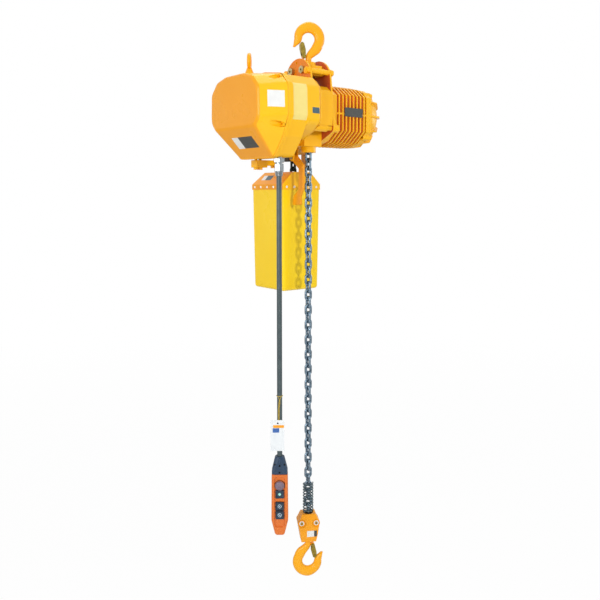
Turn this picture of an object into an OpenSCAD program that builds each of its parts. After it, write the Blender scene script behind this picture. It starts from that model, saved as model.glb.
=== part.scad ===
// Electric chain hoist with one fall of chain, hung from its upper hook.
// X runs along the motor shaft, -Y faces the user, +Z is up, and the origin is where the upper hook bears.

/* [Chain] */
// Diameter of the round steel that the links are bent from
chain_wire = 7.1; // [6:0.1:7.4]
// Inside length of one link
chain_pitch = 21; // [20.5:0.5:24]
// Outside width of one link
link_w = 22.6; // [22:0.1:23.2]
// Links from the sheave to the hook block, an even number
fall_links = 54; // [46:2:60]
// Links at the lower end that never reach the hoist
end_links = 10; // [8:1:12]
// Links that hang from the sheave into the bucket
slack_links = 16; // [12:1:18]
// Pockets round the load sheave
sheave_pockets = 5; // [5:1:5]
// Turn of the hook block and its chain about the vertical
block_turn = -30; // [-45:1:45]

/* [Hooks] */
// Inside radius of the hook bowl
bowl_r = 17.8; // [16:0.1:19]
// Distance from the bowl's bearing point to the end of the neck
hook_reach = 79; // [78:1:90]
// Thickness of the hook at the bowl
hook_thick = 20; // [16:1:24]
// Diameter of the hook shank
shank_d = 16; // [14:0.5:18]
// Turn of the upper hook about the vertical
top_turn = -26; // [-90:1:90]

/* [Frame] */
// Distance from the upper hook's bearing point down to the sheave axis
axis_drop = 213; // [205:1:225]
// Gap between the two side plates
plate_gap = 60; // [56:1:70]
// Thickness of a side plate
plate_t = 6; // [5:0.5:8]
// Radius of the round top of a side plate
plate_r = 54; // [50:1:58]
// Diameter of the stay rods between the side plates
stay_d = 14.5; // [12:0.5:18]
// Diameter of the two shafts that carry the yoke
yoke_shaft_d = 16; // [12:0.5:18]
// Diameter of the hanger and lever pins
pin_d = 8; // [6:0.5:9]

/* [Housings] */
// Distance from the hook line to the seam of the control cover
seam_x = 140; // [138:1:150]
// Depth of the control cover beyond the seam
cover_depth = 78; // [70:1:100]
// Half the width of the gear housing
body_half = 142; // [136:1:160]
// Depth of the housing top below the hook's bearing point
body_top = 121; // [118:1:124]
// Depth of the housing floor below the hook's bearing point
body_floor = 338; // [330:1:345]
// Wall of the gear housing
wall = 8; // [6:0.5:10]
// Wall of the control cover
cover_wall = 5; // [4:0.5:7]
// Rounding of the housing corners
body_round = 22; // [10:1:28]

/* [Motor] */
// Number of ring fins round the motor
fin_count = 8; // [5:1:8]
// Distance from one fin to the next
fin_pitch = 13; // [11:0.5:13.5]
// Thickness of a fin
fin_t = 4; // [3:0.5:6]
// Height of a fin above the barrel
fin_depth = 13; // [8:0.5:14]
// Outer diameter of the stator
stator_d = 124; // [116:1:126]
// Diameter of the rotor
rotor_d = 76; // [68:1:80]
// Number of radial ribs on the end cover
rib_count = 12; // [8:1:16]

/* [Gears] */
// Module of all four gears
gear_module = 1.5; // [1.4:0.05:1.55]
// Teeth on each pinion
pinion_teeth = 11; // [11:2:11]
// Teeth on each wheel
wheel_teeth = 77; // [77:2:77]

/* [Bucket] */
// Width of the chain bucket along the motor
bucket_w = 128; // [110:1:150]
// Depth of the chain bucket from front to back
bucket_d = 145; // [130:1:170]
// Height of the bucket from rim to floor
bucket_h = 297; // [240:1:340]
// Sheet of the bucket
bucket_wall = 2.5; // [2:0.5:3]
// Height of the sloped hood above the bucket rim
hood_h = 34; // [30:1:44]

/* [Pendant] */
// Diameter of the pendant cable
cable_d = 14; // [12:0.5:15]
// Width of the pendant
pendant_w = 45; // [42:1:60]
// Depth of the pendant from front to back
pendant_t = 36; // [32:1:44]
// Height of the pendant body
pendant_h = 168; // [160:1:190]
// Travel of the push buttons
press = 4; // [3:0.5:5]
// Side of a square push button
button_w = 22; // [16:0.5:24]
// Diameter of the stop button's mushroom cap
stop_d = 25; // [20:0.5:27]

/* [Hook block] */
// Half the width of the block at its widest
block_half = 29; // [28.5:0.5:36]
// Half the depth of the block
block_deep = 22; // [21:0.5:28]
// Height of the block
block_h = 81; // [80:1:95]
// Diameter of the buffer spring's wire
spring_wire = 3.4; // [2.5:0.1:4.5]
// Turns of the buffer spring
spring_turns = 10; // [6:1:12]
// Pitch of the buffer spring
spring_pitch = 8.4; // [6.5:0.1:9]

/* [Fits] */
// Radial clearance of a shaft in its bearing or bore
run_fit = 0.05; // [0.02:0.01:0.1]
// Gap between parts that move past each other
play = 0.3; // [0.2:0.05:0.5]

/* [Hidden] */
$fn = 48;
eps = 0.01;
big = 400;

// Links keep this much slack end to end, so that each one is free of the next
link_slack = 0.3;
link_inner = chain_pitch + link_slack;
link_mean = (link_w - chain_wire) / 2;
link_leg = link_inner - 2 * (link_mean - chain_wire / 2);
// Where a flat and an upright link meet they turn about the flat link's end
flat_half = (link_inner + chain_wire) / 2;
upright_half = chain_pitch - flat_half;
link_angle = 180 / sheave_pockets;
pair_chord = 2 * sqrt(flat_half * flat_half + upright_half * upright_half
    + 2 * flat_half * upright_half * cos(link_angle));
hinge_r = pair_chord / 2 / sin(link_angle);
flat_turn = asin(flat_half / hinge_r);
flat_mid = hinge_r * cos(flat_turn);
upright_mid = hinge_r * cos(asin(upright_half / hinge_r));
wrap_dip = flat_turn - link_angle / 2;
// The sheave stands behind the hook line by its own radius, so the load hangs straight below the hook
axis_y = hinge_r * cos(wrap_dip);
axis_z = -axis_drop;
slack_y = 2 * axis_y;
fall_start = axis_z - hinge_r * sin(wrap_dip) - upright_half;
fall_end = fall_start - (fall_links - 0.5) * chain_pitch;
straight_links = 4;
twist_links = 12;

// Side plates and what stands between them
plate_in = plate_gap / 2;
plate_out = plate_in + plate_t;
plate_top_z = -127;
yoke_top = -hook_reach - 0.5;
collar_d = 38;
yoke_arm_top = yoke_top - 12.5;
yoke_arm_h = 26;
yoke_floor = yoke_arm_top - yoke_arm_h;
yoke_half_x = 22;
yoke_half_y = 36;
yoke_shaft_y = 23.5;
yoke_shaft_z = yoke_arm_top - yoke_arm_h / 2;
thrust_h = 10;
thrust_d = 34;
shank_nut_af = 27;
shank_nut_h = 14;
upper_stay = [44, -109];
stay_end_d = 10;
stay_nut_af = 16;
stay_nut_h = 9;
lower_stay_z = -255;
front_stay_y = -56;
rear_stay_y = 2 * axis_y - front_stay_y - 12;
guide_rod_d = 12;
guide_rod_z = -299;
stay_boss_d = 22;
stay_boss_x = plate_out + 16;
cover_front = front_stay_y - stay_boss_d / 2 + 0.6;
cover_top = -146;
cover_boss = plate_in / 2;

// Housings
flange_t = 8;
lip = 2.5;
end_x = seam_x + cover_depth;
deep_waist = 235;
side_z = deep_waist - 6;
deep_foot = 78;
shallow_floor = 290;
shallow_waist = 250;
shallow_foot = 70;
right_wall = plate_out + 10;
step_x = right_wall + 38;
rim_x = plate_out + 8;
web_in = right_wall + 45;
web_out = web_in + 13;
end_half = body_half - 31;
end_top = body_top + 9;
end_waist = 228;
end_floor = 263;
end_foot = end_half - 19;
shoulder_in = 30;
shoulder_drop = 10;
side_drop = 39;
belly = 8;
cover_screws = [[body_half - 31, -body_top - 21], [body_half - 20.5, -deep_waist - 23]];
screw_d = 8;
screw_head_d = 13;
screw_head_h = 8;
screw_reach = 14;
pocket_d = 15;
boss_d = 26;
screw_seat = seam_x + 6.6;
panel_t = 3;
panel_half = 88;
panel_top = -165;
panel_floor = -290;
post_d = 12;
post_at = [76, 50];
eye_x = -168;
eye_seat = -body_top - 1;
eye_pad_d = 26;
eye_stub = [10, 14];
eye_collar = [24, 13];
eye_wire = 10;
eye_bore = 25;
eye_mean = eye_bore / 2 + 4.25;
eye_turn = 52;

// Drive
wheel_r = gear_module * wheel_teeth / 2;
pinion_r = gear_module * pinion_teeth / 2;
lay_y = axis_y - wheel_r - pinion_r;
pressure = 20;
backlash = 0.14;
wheel_add = 0.65;
pinion_add = 1;
tooth_ded = 1.25;
pinion_ded = 0.95;
sheave_half = 19;
sheave_r = 40;
sheave_hub = 20;
sheave_bore = 12;
groove_w = chain_wire + 2;
pocket_floor = flat_mid - chain_wire / 2 - play;
pocket_flare = 5.5;
groove_r = upright_mid - link_w / 2 - 1.4;
first_wheel = [-right_wall - 38, -right_wall - 28];
first_pinion = [-right_wall - 42, -right_wall - 24];
second_pinion = [-right_wall - 19, -right_wall - 0.5];
second_wheel = [-right_wall - 16, -right_wall - 2];
gear_seat = 19;
lay_seat = 6;
motor_front = plate_out;
barrel_x = plate_out + 24;
fin_x = barrel_x + 4;
motor_end = barrel_x + 106;
shield_t = 12;
shield_end = motor_end + shield_t;
dome_end = shield_end + 66;
disc_r = 48;
magnet_r = 52;
stud_r = 56;
shield_screws = [66, 58];

// Chain guide, limit lever and switch
guide_y = [-20, slack_y + 21];
guide_top = -235;
guide_floor = -303;
mouth_floor = -319;
mouth_d = 40;
slot_floor = -288;
slot_gap = 1;
lever_x = [-plate_in + 4.8, -plate_in + 13.8];
lever_pivot = [37, -332];
lever_boss = 18;
lug_t = 4;
lever_tip = -460;

// Bucket
bucket_x = -49;
bucket_y = 50;
bucket_rim = -403;
bucket_taper = 1;
bucket_round = 9;
hood_t = 2;
hood_fit = 0.2;
hood_lap = 15;
hood_in = 15;
hood_side_in = 34;
ear_in = 15;
hood_front_in = 1;
rivet_d = 7;
rivet_shank = 4;
ear_t = 3;
ear_w = 24;
ear_y = 98;
ear_left_x = bucket_x + ear_in;
ear_right_x = bucket_x + bucket_w - ear_in - ear_t;
ear_foot = bucket_rim + hood_h * ear_in / hood_side_in - 4;
ear_left_z = -body_floor - 11;
ear_right_z = -308;
ear_slot = ear_t + 4;
bracket_w = 28;
bracket_h = 20;
bracket_end = -112;
bracket_bolts = [-105, -91];

// Pendant and its cable, which hangs straight down
cable_at = [-115, -22];
pendant_turn = -38;
gland_top = -body_floor;
gland_end = gland_top - 47;
gland_af = 26;
cap_af = 23;
gland_stub = 16;
boot_top = -1130;
boot_floor = -1176;
cable_route = [for (z = [-346, -368, -390, -430, -470, -510, -550, -590, -630, -670, -710, -750, -790, -830,
    -870, -910, -950, -990, -1030, -1070, -1110, -1140, -1160]) [-115, -22, z]];
cable_sides = 10;
panel_face = -pendant_t / 2 + 3;
panel_w = 28;
button_depth = 8;
stop_z = boot_floor - 29;
start_z = stop_z - stop_d / 2 - button_w / 2 - 1;
up_z = start_z - button_w - 11;
down_z = up_z - button_w - 2.5;
panel_top_z = stop_z + stop_d / 2 + 10.5;
panel_floor_z = down_z - button_w / 2 - 23;
stop_neck = 14;
tag_size = [37, 1, 84];
tag_top = -1030;
tag_shift = -6;

// Hook block
block_top = fall_end + 20;
block_floor = block_top - block_h;
chain_pin_d = 8;
chain_pin_z = fall_end + chain_pin_d / 2 + link_slack / 2;
chain_well_d = link_w + 3;
well_floor = fall_end - chain_wire - 4;
load_thrust_z = block_floor + 22;
load_nut_z = load_thrust_z + thrust_h + play;
nut_room = 35;
bolt_x = 20.5;
bolt_z = block_top - 25;
bolt_d = 8;
bolt_head = [14, 5];
bolt_boss_d = 21;
bolt_seat = block_deep - 5;
spring_mean = link_w / 2 + 0.5 + spring_wire / 2;
spring_floor = block_top + spring_wire / 2 + 0.2;
latch_pivot = [-13, 64];
latch_pin_d = 5;
latch_half = 5.3;
latch_sheet = 1.5;
latch_lug = 11;

// Points on one side of an outline, followed by their mirror images
function both_sides(right) =
    concat(right, [for (i = [len(right) - 1:-1:0]) [-right[i][0], right[i][1]]]);

// Faceted outline of a cast housing seen along the motor, from its crown to its floor
function body_outline(half, top, side, waist, floor, foot) = both_sides([
    [40, -top],
    [half - shoulder_in, -top - shoulder_drop],
    [half - 2, -top - side_drop],
    [half, -side],
    [half, -waist],
    [(half + foot) / 2 + belly, -(waist + floor) / 2],
    [foot, -floor]]);

deep_outline = body_outline(body_half, body_top, side_z, deep_waist, body_floor, deep_foot);
shallow_outline = body_outline(body_half, body_top, side_z, shallow_waist, shallow_floor, shallow_foot);
end_outline = body_outline(end_half, end_top, end_waist - 6, end_waist, end_floor, end_foot);
motor_outline = both_sides([[20, 82], [58, 72], [86, 50], [86, -46], [50, -76], [15, -86]]);

module prism_x(x0, x1) {
    translate([x0, 0, 0])
        rotate([90, 0, 90])
            linear_extrude(x1 - x0)
                children();
}

module prism_y(y0, y1) {
    translate([0, y1, 0])
        rotate([90, 0, 0])
            linear_extrude(y1 - y0)
                children();
}

module rod_x(x0, x1, d, at) {
    translate([x0, at[0], at[1]])
        rotate([0, 90, 0]) cylinder(d = d, h = x1 - x0);
}

module rod_y(y0, y1, d, at) {
    translate([at[0], y1, at[1]])
        rotate([90, 0, 0]) cylinder(d = d, h = y1 - y0);
}

module hex_x(x0, x1, af, at) {
    translate([x0, at[0], at[1]])
        rotate([0, 90, 0]) cylinder(d = af / cos(30), h = x1 - x0, $fn = 6);
}

// A profile of radius and place along the motor, turned about an axis parallel to X
module turned_x(at) {
    translate([0, at[0], at[1]])
        rotate([0, 90, 0])
            rotate_extrude()
                children();
}

module rounded(r) {
    offset(r)
        offset(delta = -r)
            children();
}

module body_shape(outline, inset = 0) {
    translate([axis_y, 0])
        rounded(body_round, $fn = 32)
            offset(delta = -inset)
                polygon(outline);
}

module motor_shape(inset = 0) {
    translate([axis_y, axis_z])
        offset(delta = -inset)
            polygon(motor_outline);
}

// Places the children at the cover screws, on both sides of the housing
module at_cover_screws() {
    for (side = [-1, 1], s = cover_screws)
        translate([0, axis_y + side * s[0], s[1]])
            children();
}

module screw_x(x, toward) {
    translate([x, 0, 0])
        rotate([0, toward * 90, 0])
            cap_screw();
}

module cap_screw() {
    difference() {
        union() {
            cylinder(d = screw_head_d, h = screw_head_h);
            translate([0, 0, -screw_reach])
                cylinder(d = screw_d - 2 * run_fit, h = screw_reach + eps);
        }
        translate([0, 0, screw_head_h - 4]) cylinder(d = 6.9, h = 5, $fn = 6);
    }
}

module control_cover() {
    color("orange")
        difference() {
            union() {
                prism_x(-seam_x - flange_t, -seam_x)
                    body_shape(deep_outline);
                hull() {
                    prism_x(-seam_x - flange_t - 2, -seam_x - 1)
                        body_shape(deep_outline, lip);
                    prism_x(-end_x, -end_x + 4)
                        body_shape(end_outline);
                }
                translate([eye_x, axis_y, eye_seat - 16]) cylinder(d = eye_pad_d, h = 16);
            }
            difference() {
                hull() {
                    prism_x(-seam_x - flange_t, -seam_x + 1)
                        body_shape(deep_outline, cover_wall + lip);
                    prism_x(-end_x + cover_wall, -end_x + cover_wall + 1)
                        body_shape(end_outline, cover_wall);
                }
                at_cover_screws()
                    rod_x(-end_x, -seam_x + 2, boss_d, [0, 0]);
                translate([eye_x, axis_y, eye_seat - 20]) cylinder(d = eye_pad_d, h = 20);
            }
            at_cover_screws()
                rod_x(-end_x - 1, -screw_seat, pocket_d, [0, 0]);
            at_cover_screws()
                rod_x(-screw_seat - 1, -seam_x + 1, screw_d + 0.4, [0, 0]);
            translate([eye_x, axis_y, eye_seat - eye_stub[1] - 1])
                cylinder(d = eye_stub[0] + 2 * run_fit, h = eye_stub[1] + 2);
        }
}

module housing_screws() {
    color("silver") {
        at_cover_screws()
            screw_x(-screw_seat, -1);
        for (y = [-1, 1], z = [-1, 1])
            translate([0, axis_y + y * shield_screws[0], axis_z + z * shield_screws[1]])
                screw_x(shield_end + 14, 1);
        for (x = bracket_bolts)
            translate([x, ear_y, -body_floor - bracket_h])
                rotate([180, 0, 0])
                    bracket_bolt();
    }
}

module bracket_bolt() {
    cylinder(d = screw_head_d, h = 6);
    translate([0, 0, -bracket_h - 6]) cylinder(d = screw_d - 2 * run_fit, h = bracket_h + 6 + eps);
}

module at_posts() {
    for (y = [-1, 1], z = [-1, 1])
        translate([0, axis_y + y * post_at[0], (panel_top + panel_floor) / 2 + z * post_at[1]])
            children();
}

module control_panel() {
    color("lightgray")
        translate([-seam_x, axis_y - panel_half, panel_floor])
            cube([panel_t, 2 * panel_half, panel_top - panel_floor]);
}

// A contactor: a wide base with the coil and terminal decks stepped above it
module contactor(y, z) {
    translate([-seam_x, axis_y + y, z])
        rotate([0, -90, 0]) {
            translate([-29, -22.5, 0])
                cube([58, 45, 24]);
            translate([-22, -22.5, 24 - eps])
                cube([44, 45, 12]);
            translate([-13, -18, 36 - 2 * eps])
                cube([26, 36, 10]);
        }
}

module contactors() {
    color("dimgray") {
        contactor(-58, -212);
        contactor(-8, -212);
    }
}

// A small control transformer: stacked core with a coil on its middle limb
module transformer() {
    color("darkgoldenrod")
        translate([-seam_x, axis_y + 54, -212])
            rotate([0, -90, 0]) {
                translate([-27, -11, 0])
                    cube([54, 22, 46]);
                translate([-16, -20, 8])
                    cube([32, 40, 30]);
            }
}

module gear_housing() {
    color("gold")
        difference() {
            union() {
                prism_x(-seam_x, -seam_x + flange_t)
                    body_shape(deep_outline);
                prism_x(-seam_x + flange_t - 1, -step_x)
                    body_shape(deep_outline, lip);
                prism_x(-step_x - 1, -rim_x)
                    body_shape(shallow_outline, lip);
                prism_x(-rim_x - 1, -plate_out)
                    body_shape(shallow_outline, 3 * lip);
            }
            difference() {
                prism_x(-seam_x - 1, -web_out)
                    body_shape(deep_outline, wall + lip);
                at_cover_screws()
                    rod_x(-seam_x - 2, -web_out + 1, boss_d, [0, 0]);
                at_posts()
                    rod_x(-seam_x + panel_t, -web_out + 1, post_d, [0, 0]);
            }
            prism_x(-web_in, -right_wall)
                body_shape(shallow_outline, wall + lip);
            at_cover_screws()
                rod_x(-seam_x - 1, -seam_x + screw_reach, screw_d, [0, 0]);
            rod_x(-right_wall - 1, -plate_out + 1, 68 + 2 * run_fit, [axis_y, axis_z]);
            rod_x(-web_out - 1, -web_in + 1, 35 + 2 * run_fit, [axis_y, axis_z]);
            rod_x(-web_out - 1, -web_in + 1, 32 + 2 * run_fit, [lay_y, axis_z]);
            rod_x(-right_wall - 1, -plate_out - 0.5, 32 + 2 * run_fit, [lay_y, axis_z]);
            translate([cable_at[0], cable_at[1], -body_floor - 1])
                cylinder(d = gland_stub + 2 * run_fit, h = wall + lip + 6);
            for (x = bracket_bolts)
                translate([x, ear_y, -body_floor - 1]) cylinder(d = screw_d, h = 11);
        }
}

// Half of the frame: round at the top for the yoke, wider below where the stay rods cross
module side_plate(x0) {
    difference() {
        prism_x(x0, x0 + plate_t)
            hull() {
                translate([0, plate_top_z]) circle(r = plate_r, $fn = 64);
                for (y = [front_stay_y, rear_stay_y])
                    translate([y, lower_stay_z]) circle(r = 13, $fn = 32);
                translate([axis_y, guide_rod_z]) circle(r = 12, $fn = 32);
            }
        rod_x(x0 - 1, x0 + plate_t + 1, 68 + 2 * run_fit, [axis_y, axis_z]);
        for (s = [-1, 1]) {
            rod_x(x0 - 1, x0 + plate_t + 1, yoke_shaft_d + 2 * run_fit, [s * yoke_shaft_y, yoke_shaft_z]);
            rod_x(x0 - 1, x0 + plate_t + 1, stay_end_d + 2 * run_fit, [s * upper_stay[0], upper_stay[1]]);
        }
        for (y = [front_stay_y, rear_stay_y])
            rod_x(x0 - 1, x0 + plate_t + 1, stay_end_d + 2 * run_fit, [y, lower_stay_z]);
        rod_x(x0 - 1, x0 + plate_t + 1, guide_rod_d + 2 * run_fit, [axis_y, guide_rod_z]);
        rod_x(x0 - 1, x0 + plate_t + 1, 6, [6, -84]);
    }
}

module side_plate_left() {
    color("darkorange")
        side_plate(-plate_out);
}

module side_plate_right() {
    color("darkorange")
        side_plate(plate_in);
}

module stay_rods() {
    color("orange") {
        for (s = [-1, 1]) {
            rod_x(-plate_in, plate_in, stay_d, [s * upper_stay[0], upper_stay[1]]);
            rod_x(-plate_out - stay_nut_h - 2, plate_out + stay_nut_h + 2, stay_end_d,
                [s * upper_stay[0], upper_stay[1]]);
        }
        for (y = [front_stay_y, rear_stay_y]) {
            rod_x(-plate_in, plate_in, stay_d, [y, lower_stay_z]);
            rod_x(-plate_out, stay_boss_x, stay_end_d, [y, lower_stay_z]);
        }
        rod_x(-plate_out, plate_out, guide_rod_d, [axis_y, guide_rod_z]);
    }
}

module frame_nut(x0, at, bore) {
    difference() {
        hex_x(x0, x0 + stay_nut_h, stay_nut_af, at);
        rod_x(x0 - 1, x0 + stay_nut_h + 1, bore + 2 * run_fit, at);
    }
}

module frame_nuts() {
    color("goldenrod")
        for (s = [-1, 1], x = [-plate_out - stay_nut_h, plate_out])
            frame_nut(x, [s * upper_stay[0], upper_stay[1]], stay_end_d);
}

module yoke_block() {
    color("orange")
        difference() {
            union() {
                translate([0, 0, yoke_arm_top - eps])
                    cylinder(d = collar_d, h = yoke_top - yoke_arm_top + eps);
                translate([0, 0, yoke_floor])
                    linear_extrude(yoke_arm_h)
                        rounded(8)
                            square([2 * yoke_half_x, 2 * yoke_half_y], center = true);
                for (s = [-1, 1])
                    rod_x(-plate_in, plate_in, yoke_shaft_d + 5, [s * yoke_shaft_y, yoke_shaft_z]);
            }
            translate([0, 0, yoke_floor - 1]) cylinder(d = shank_d + 2 * run_fit, h = 60);
            for (s = [-1, 1])
                rod_x(-plate_out, plate_out, yoke_shaft_d + 2 * run_fit, [s * yoke_shaft_y, yoke_shaft_z]);
        }
}

// Pressed cover over the front of the sheave space, clipped round the front stay by its own boss
module sheave_cover() {
    half = plate_in - play;
    color("gold")
        difference() {
            union() {
                prism_x(-half, half)
                    polygon([[cover_front, lower_stay_z + 5], [cover_front, cover_top - 34],
                        [cover_front + 9, cover_top - 12], [cover_front + 24, cover_top],
                        [cover_front + 26, cover_top - 3], [cover_front + 12, cover_top - 14],
                        [cover_front + 4, cover_top - 35], [cover_front + 4, lower_stay_z + 5]]);
                rod_x(-half, cover_boss, stay_boss_d, [front_stay_y, lower_stay_z]);
            }
            rod_x(-half - 1, half + 1, stay_d + 2 * run_fit, [front_stay_y, lower_stay_z]);
        }
}

// Headed shafts: a round head outside the right plate and a nut outside the left one
module yoke_shafts() {
    color("goldenrod")
        for (s = [-1, 1]) {
            rod_x(-plate_out - 4, plate_out, yoke_shaft_d, [s * yoke_shaft_y, yoke_shaft_z]);
            rod_x(plate_out, plate_out + 5, yoke_shaft_d + 6, [s * yoke_shaft_y, yoke_shaft_z]);
            difference() {
                hex_x(-plate_out - 9, -plate_out, 18, [s * yoke_shaft_y, yoke_shaft_z]);
                rod_x(-plate_out - 10, -plate_out - 4, 6, [s * yoke_shaft_y, yoke_shaft_z]);
            }
        }
}

// Inner and outer edge of the forged hook and its thickness at each section, from neck to tip.
// Points are across and above the bowl's bearing point.
neck_sections = [
    [[-8, -79], [8, -79], 16],
    [[-8, -73], [8, -73], 16],
    [[-8, -66], [9.5, -68], 16],
    [[-6, -58], [19, -61], 17],
    [[-0.5, -49], [30, -53], 18],
    [[7, -39], [37.5, -41], 19]];
tip_sections = [
    [[-20, -25], [-40, -25], 16],
    [[-25, -31], [-41, -32], 14],
    [[-31, -35.2], [-42.3, -38], 12],
    [[-35.2, -38], [-43.6, -41.6], 10],
    [[-38.6, -40.6], [-44, -43], 6.5],
    [[-40.4, -42], [-43.2, -43.3], 3]];
hook_sides = 16;

function hook_depth(a) = lookup(a, [[-30, 25.5], [0, 26], [90, 28.3], [180, 21]]);

function bowl_section(a) =
    let (inner = bowl_r, outer = bowl_r + hook_depth(a), way = [cos(a), sin(a)])
    [inner * way - [0, bowl_r], outer * way - [0, bowl_r], a < 120 ? hook_thick : hook_thick - 2];

function hook_ring(s) =
    let (mid = (s[0] + s[1]) / 2, half = (s[1] - s[0]) / 2)
    [for (j = [0:hook_sides - 1])
        let (b = 360 * j / hook_sides, p = mid + half * cos(b))
        [p[0], -s[2] / 2 * sin(b), p[1]]];

// A closed tube through rings of equal count, capped at both ends
function tube_faces(rings, sides) = concat(
    [for (i = [0:rings - 2], j = [0:sides - 1])
        let (a = i * sides + j, b = i * sides + (j + 1) % sides)
        [a, b, b + sides]],
    [for (i = [0:rings - 2], j = [0:sides - 1])
        let (a = i * sides + j, b = i * sides + (j + 1) % sides)
        [a, b + sides, a + sides]],
    [[for (j = [sides - 1:-1:0]) j]],
    [[for (j = [0:sides - 1]) (rings - 1) * sides + j]]);

module hook() {
    shift = [0, hook_reach - 79];
    necks = [for (s = neck_sections) [s[0] - shift, s[1] - shift, s[2]]];
    sections = concat(necks, [for (a = [-30:15:180]) bowl_section(a)], tip_sections);
    difference() {
        union() {
            polyhedron([for (s = sections) each hook_ring(s)], tube_faces(len(sections), hook_sides));
            translate([0, 0, -hook_reach + 4 - (hook_reach + 75)])
                cylinder(d = shank_d, h = hook_reach + 75);
            rod_y(-latch_half + play, latch_half - play, latch_lug, [latch_pivot[0], -latch_pivot[1]]);
            translate([latch_pivot[0], -latch_half + play, -latch_pivot[1] - 5])
                cube([10, 2 * (latch_half - play), 10]);
        }
        rod_y(-20, 20, latch_pin_d + 2 * run_fit, [latch_pivot[0], -latch_pivot[1]]);
    }
}

// Cuts the shank to length and turns the hook to hang from its own neck
module hook_with_shank(shank) {
    difference() {
        hook();
        translate([-50, -50, -hook_reach - shank - big])
            cube([100, 100, big]);
    }
}

top_shank = 0.5 + yoke_top - yoke_floor + thrust_h + play + shank_nut_h + 3;
load_shank = 0.5 + load_thrust_z - block_floor + thrust_h + play + shank_nut_h + 0.2;
load_seat = block_floor - 0.5 - hook_reach;

module at_top_hook() {
    rotate([0, 0, top_turn])
        children();
}

module at_block() {
    rotate([0, 0, block_turn])
        children();
}

module at_load_hook() {
    translate([0, 0, load_seat])
        rotate([0, 0, block_turn])
            rotate([0, 180, 0])
                children();
}

module top_hook() {
    color("orange")
        at_top_hook()
            hook_with_shank(top_shank);
}

module load_hook() {
    color("orange")
        at_load_hook()
            hook_with_shank(load_shank);
}

module thrust_bearing() {
    rotate_extrude()
        polygon([
            [shank_d / 2 + run_fit, 0],
            [thrust_d / 2, 0],
            [thrust_d / 2, 3],
            [thrust_d / 2 - 2, 3.5],
            [thrust_d / 2 - 2, thrust_h - 3.5],
            [thrust_d / 2, thrust_h - 3],
            [thrust_d / 2, thrust_h],
            [shank_d / 2 + run_fit, thrust_h]]);
}

module shank_nut() {
    difference() {
        cylinder(d = shank_nut_af / cos(30), h = shank_nut_h, $fn = 6);
        translate([0, 0, -1]) cylinder(d = shank_d + 2 * run_fit, h = shank_nut_h + 2);
    }
}

module top_hook_bearing() {
    color("silver")
        translate([0, 0, yoke_floor - thrust_h])
            thrust_bearing();
}

module top_hook_nut() {
    color("gray")
        translate([0, 0, yoke_floor - thrust_h - play - shank_nut_h])
            shank_nut();
}

module load_hook_bearing() {
    color("silver")
        translate([0, 0, load_thrust_z])
            thrust_bearing();
}

module load_hook_nut() {
    color("gray")
        translate([0, 0, load_nut_z])
            rotate([0, 0, block_turn])
                shank_nut();
}

// Sheet latch: two cheeks joined by a web along the outer edge, closing on the inside of the tip
latch_outline = [[-8.2, -66], [-9, -45], [-13.5, -29], [-19.4, -26], [-24.2, -32], [-23.5, -45], [-18, -66]];

module latch() {
    web = latch_sheet;
    difference() {
        union() {
            prism_y(-latch_half - latch_sheet, latch_half + latch_sheet)
                polygon(latch_outline);
            rod_y(-latch_half - latch_sheet, latch_half + latch_sheet, 9.6,
                [latch_pivot[0], -latch_pivot[1]]);
        }
        prism_y(-latch_half, latch_half)
            translate([web, 0])
                polygon([[0, -80], [-5, -20], [-18, -20], [-19.4, -26 - web], [-24.2, -32], [-23.5, -45],
                    [-21, -54], [-30, -56], [-30, -80]]);
        rod_y(-20, 20, latch_pin_d + 2 * run_fit, [latch_pivot[0], -latch_pivot[1]]);
    }
}

module latch_pin() {
    reach = latch_half + latch_sheet;
    rod_y(-reach - 0.9, reach + 0.9, latch_pin_d, [latch_pivot[0], -latch_pivot[1]]);
    for (s = [-1, 1])
        translate([latch_pivot[0], s * (reach + 0.9), -latch_pivot[1]])
            rotate([90, 0, 0]) cylinder(d = latch_pin_d + 3, h = 1.2, center = true);
}

module top_latch() {
    color("darkkhaki")
        at_top_hook()
            latch();
}

module top_latch_pin() {
    color("silver")
        at_top_hook()
            latch_pin();
}

module load_latch() {
    color("darkkhaki")
        at_load_hook()
            latch();
}

module load_latch_pin() {
    color("silver")
        at_load_hook()
            latch_pin();
}

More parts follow.
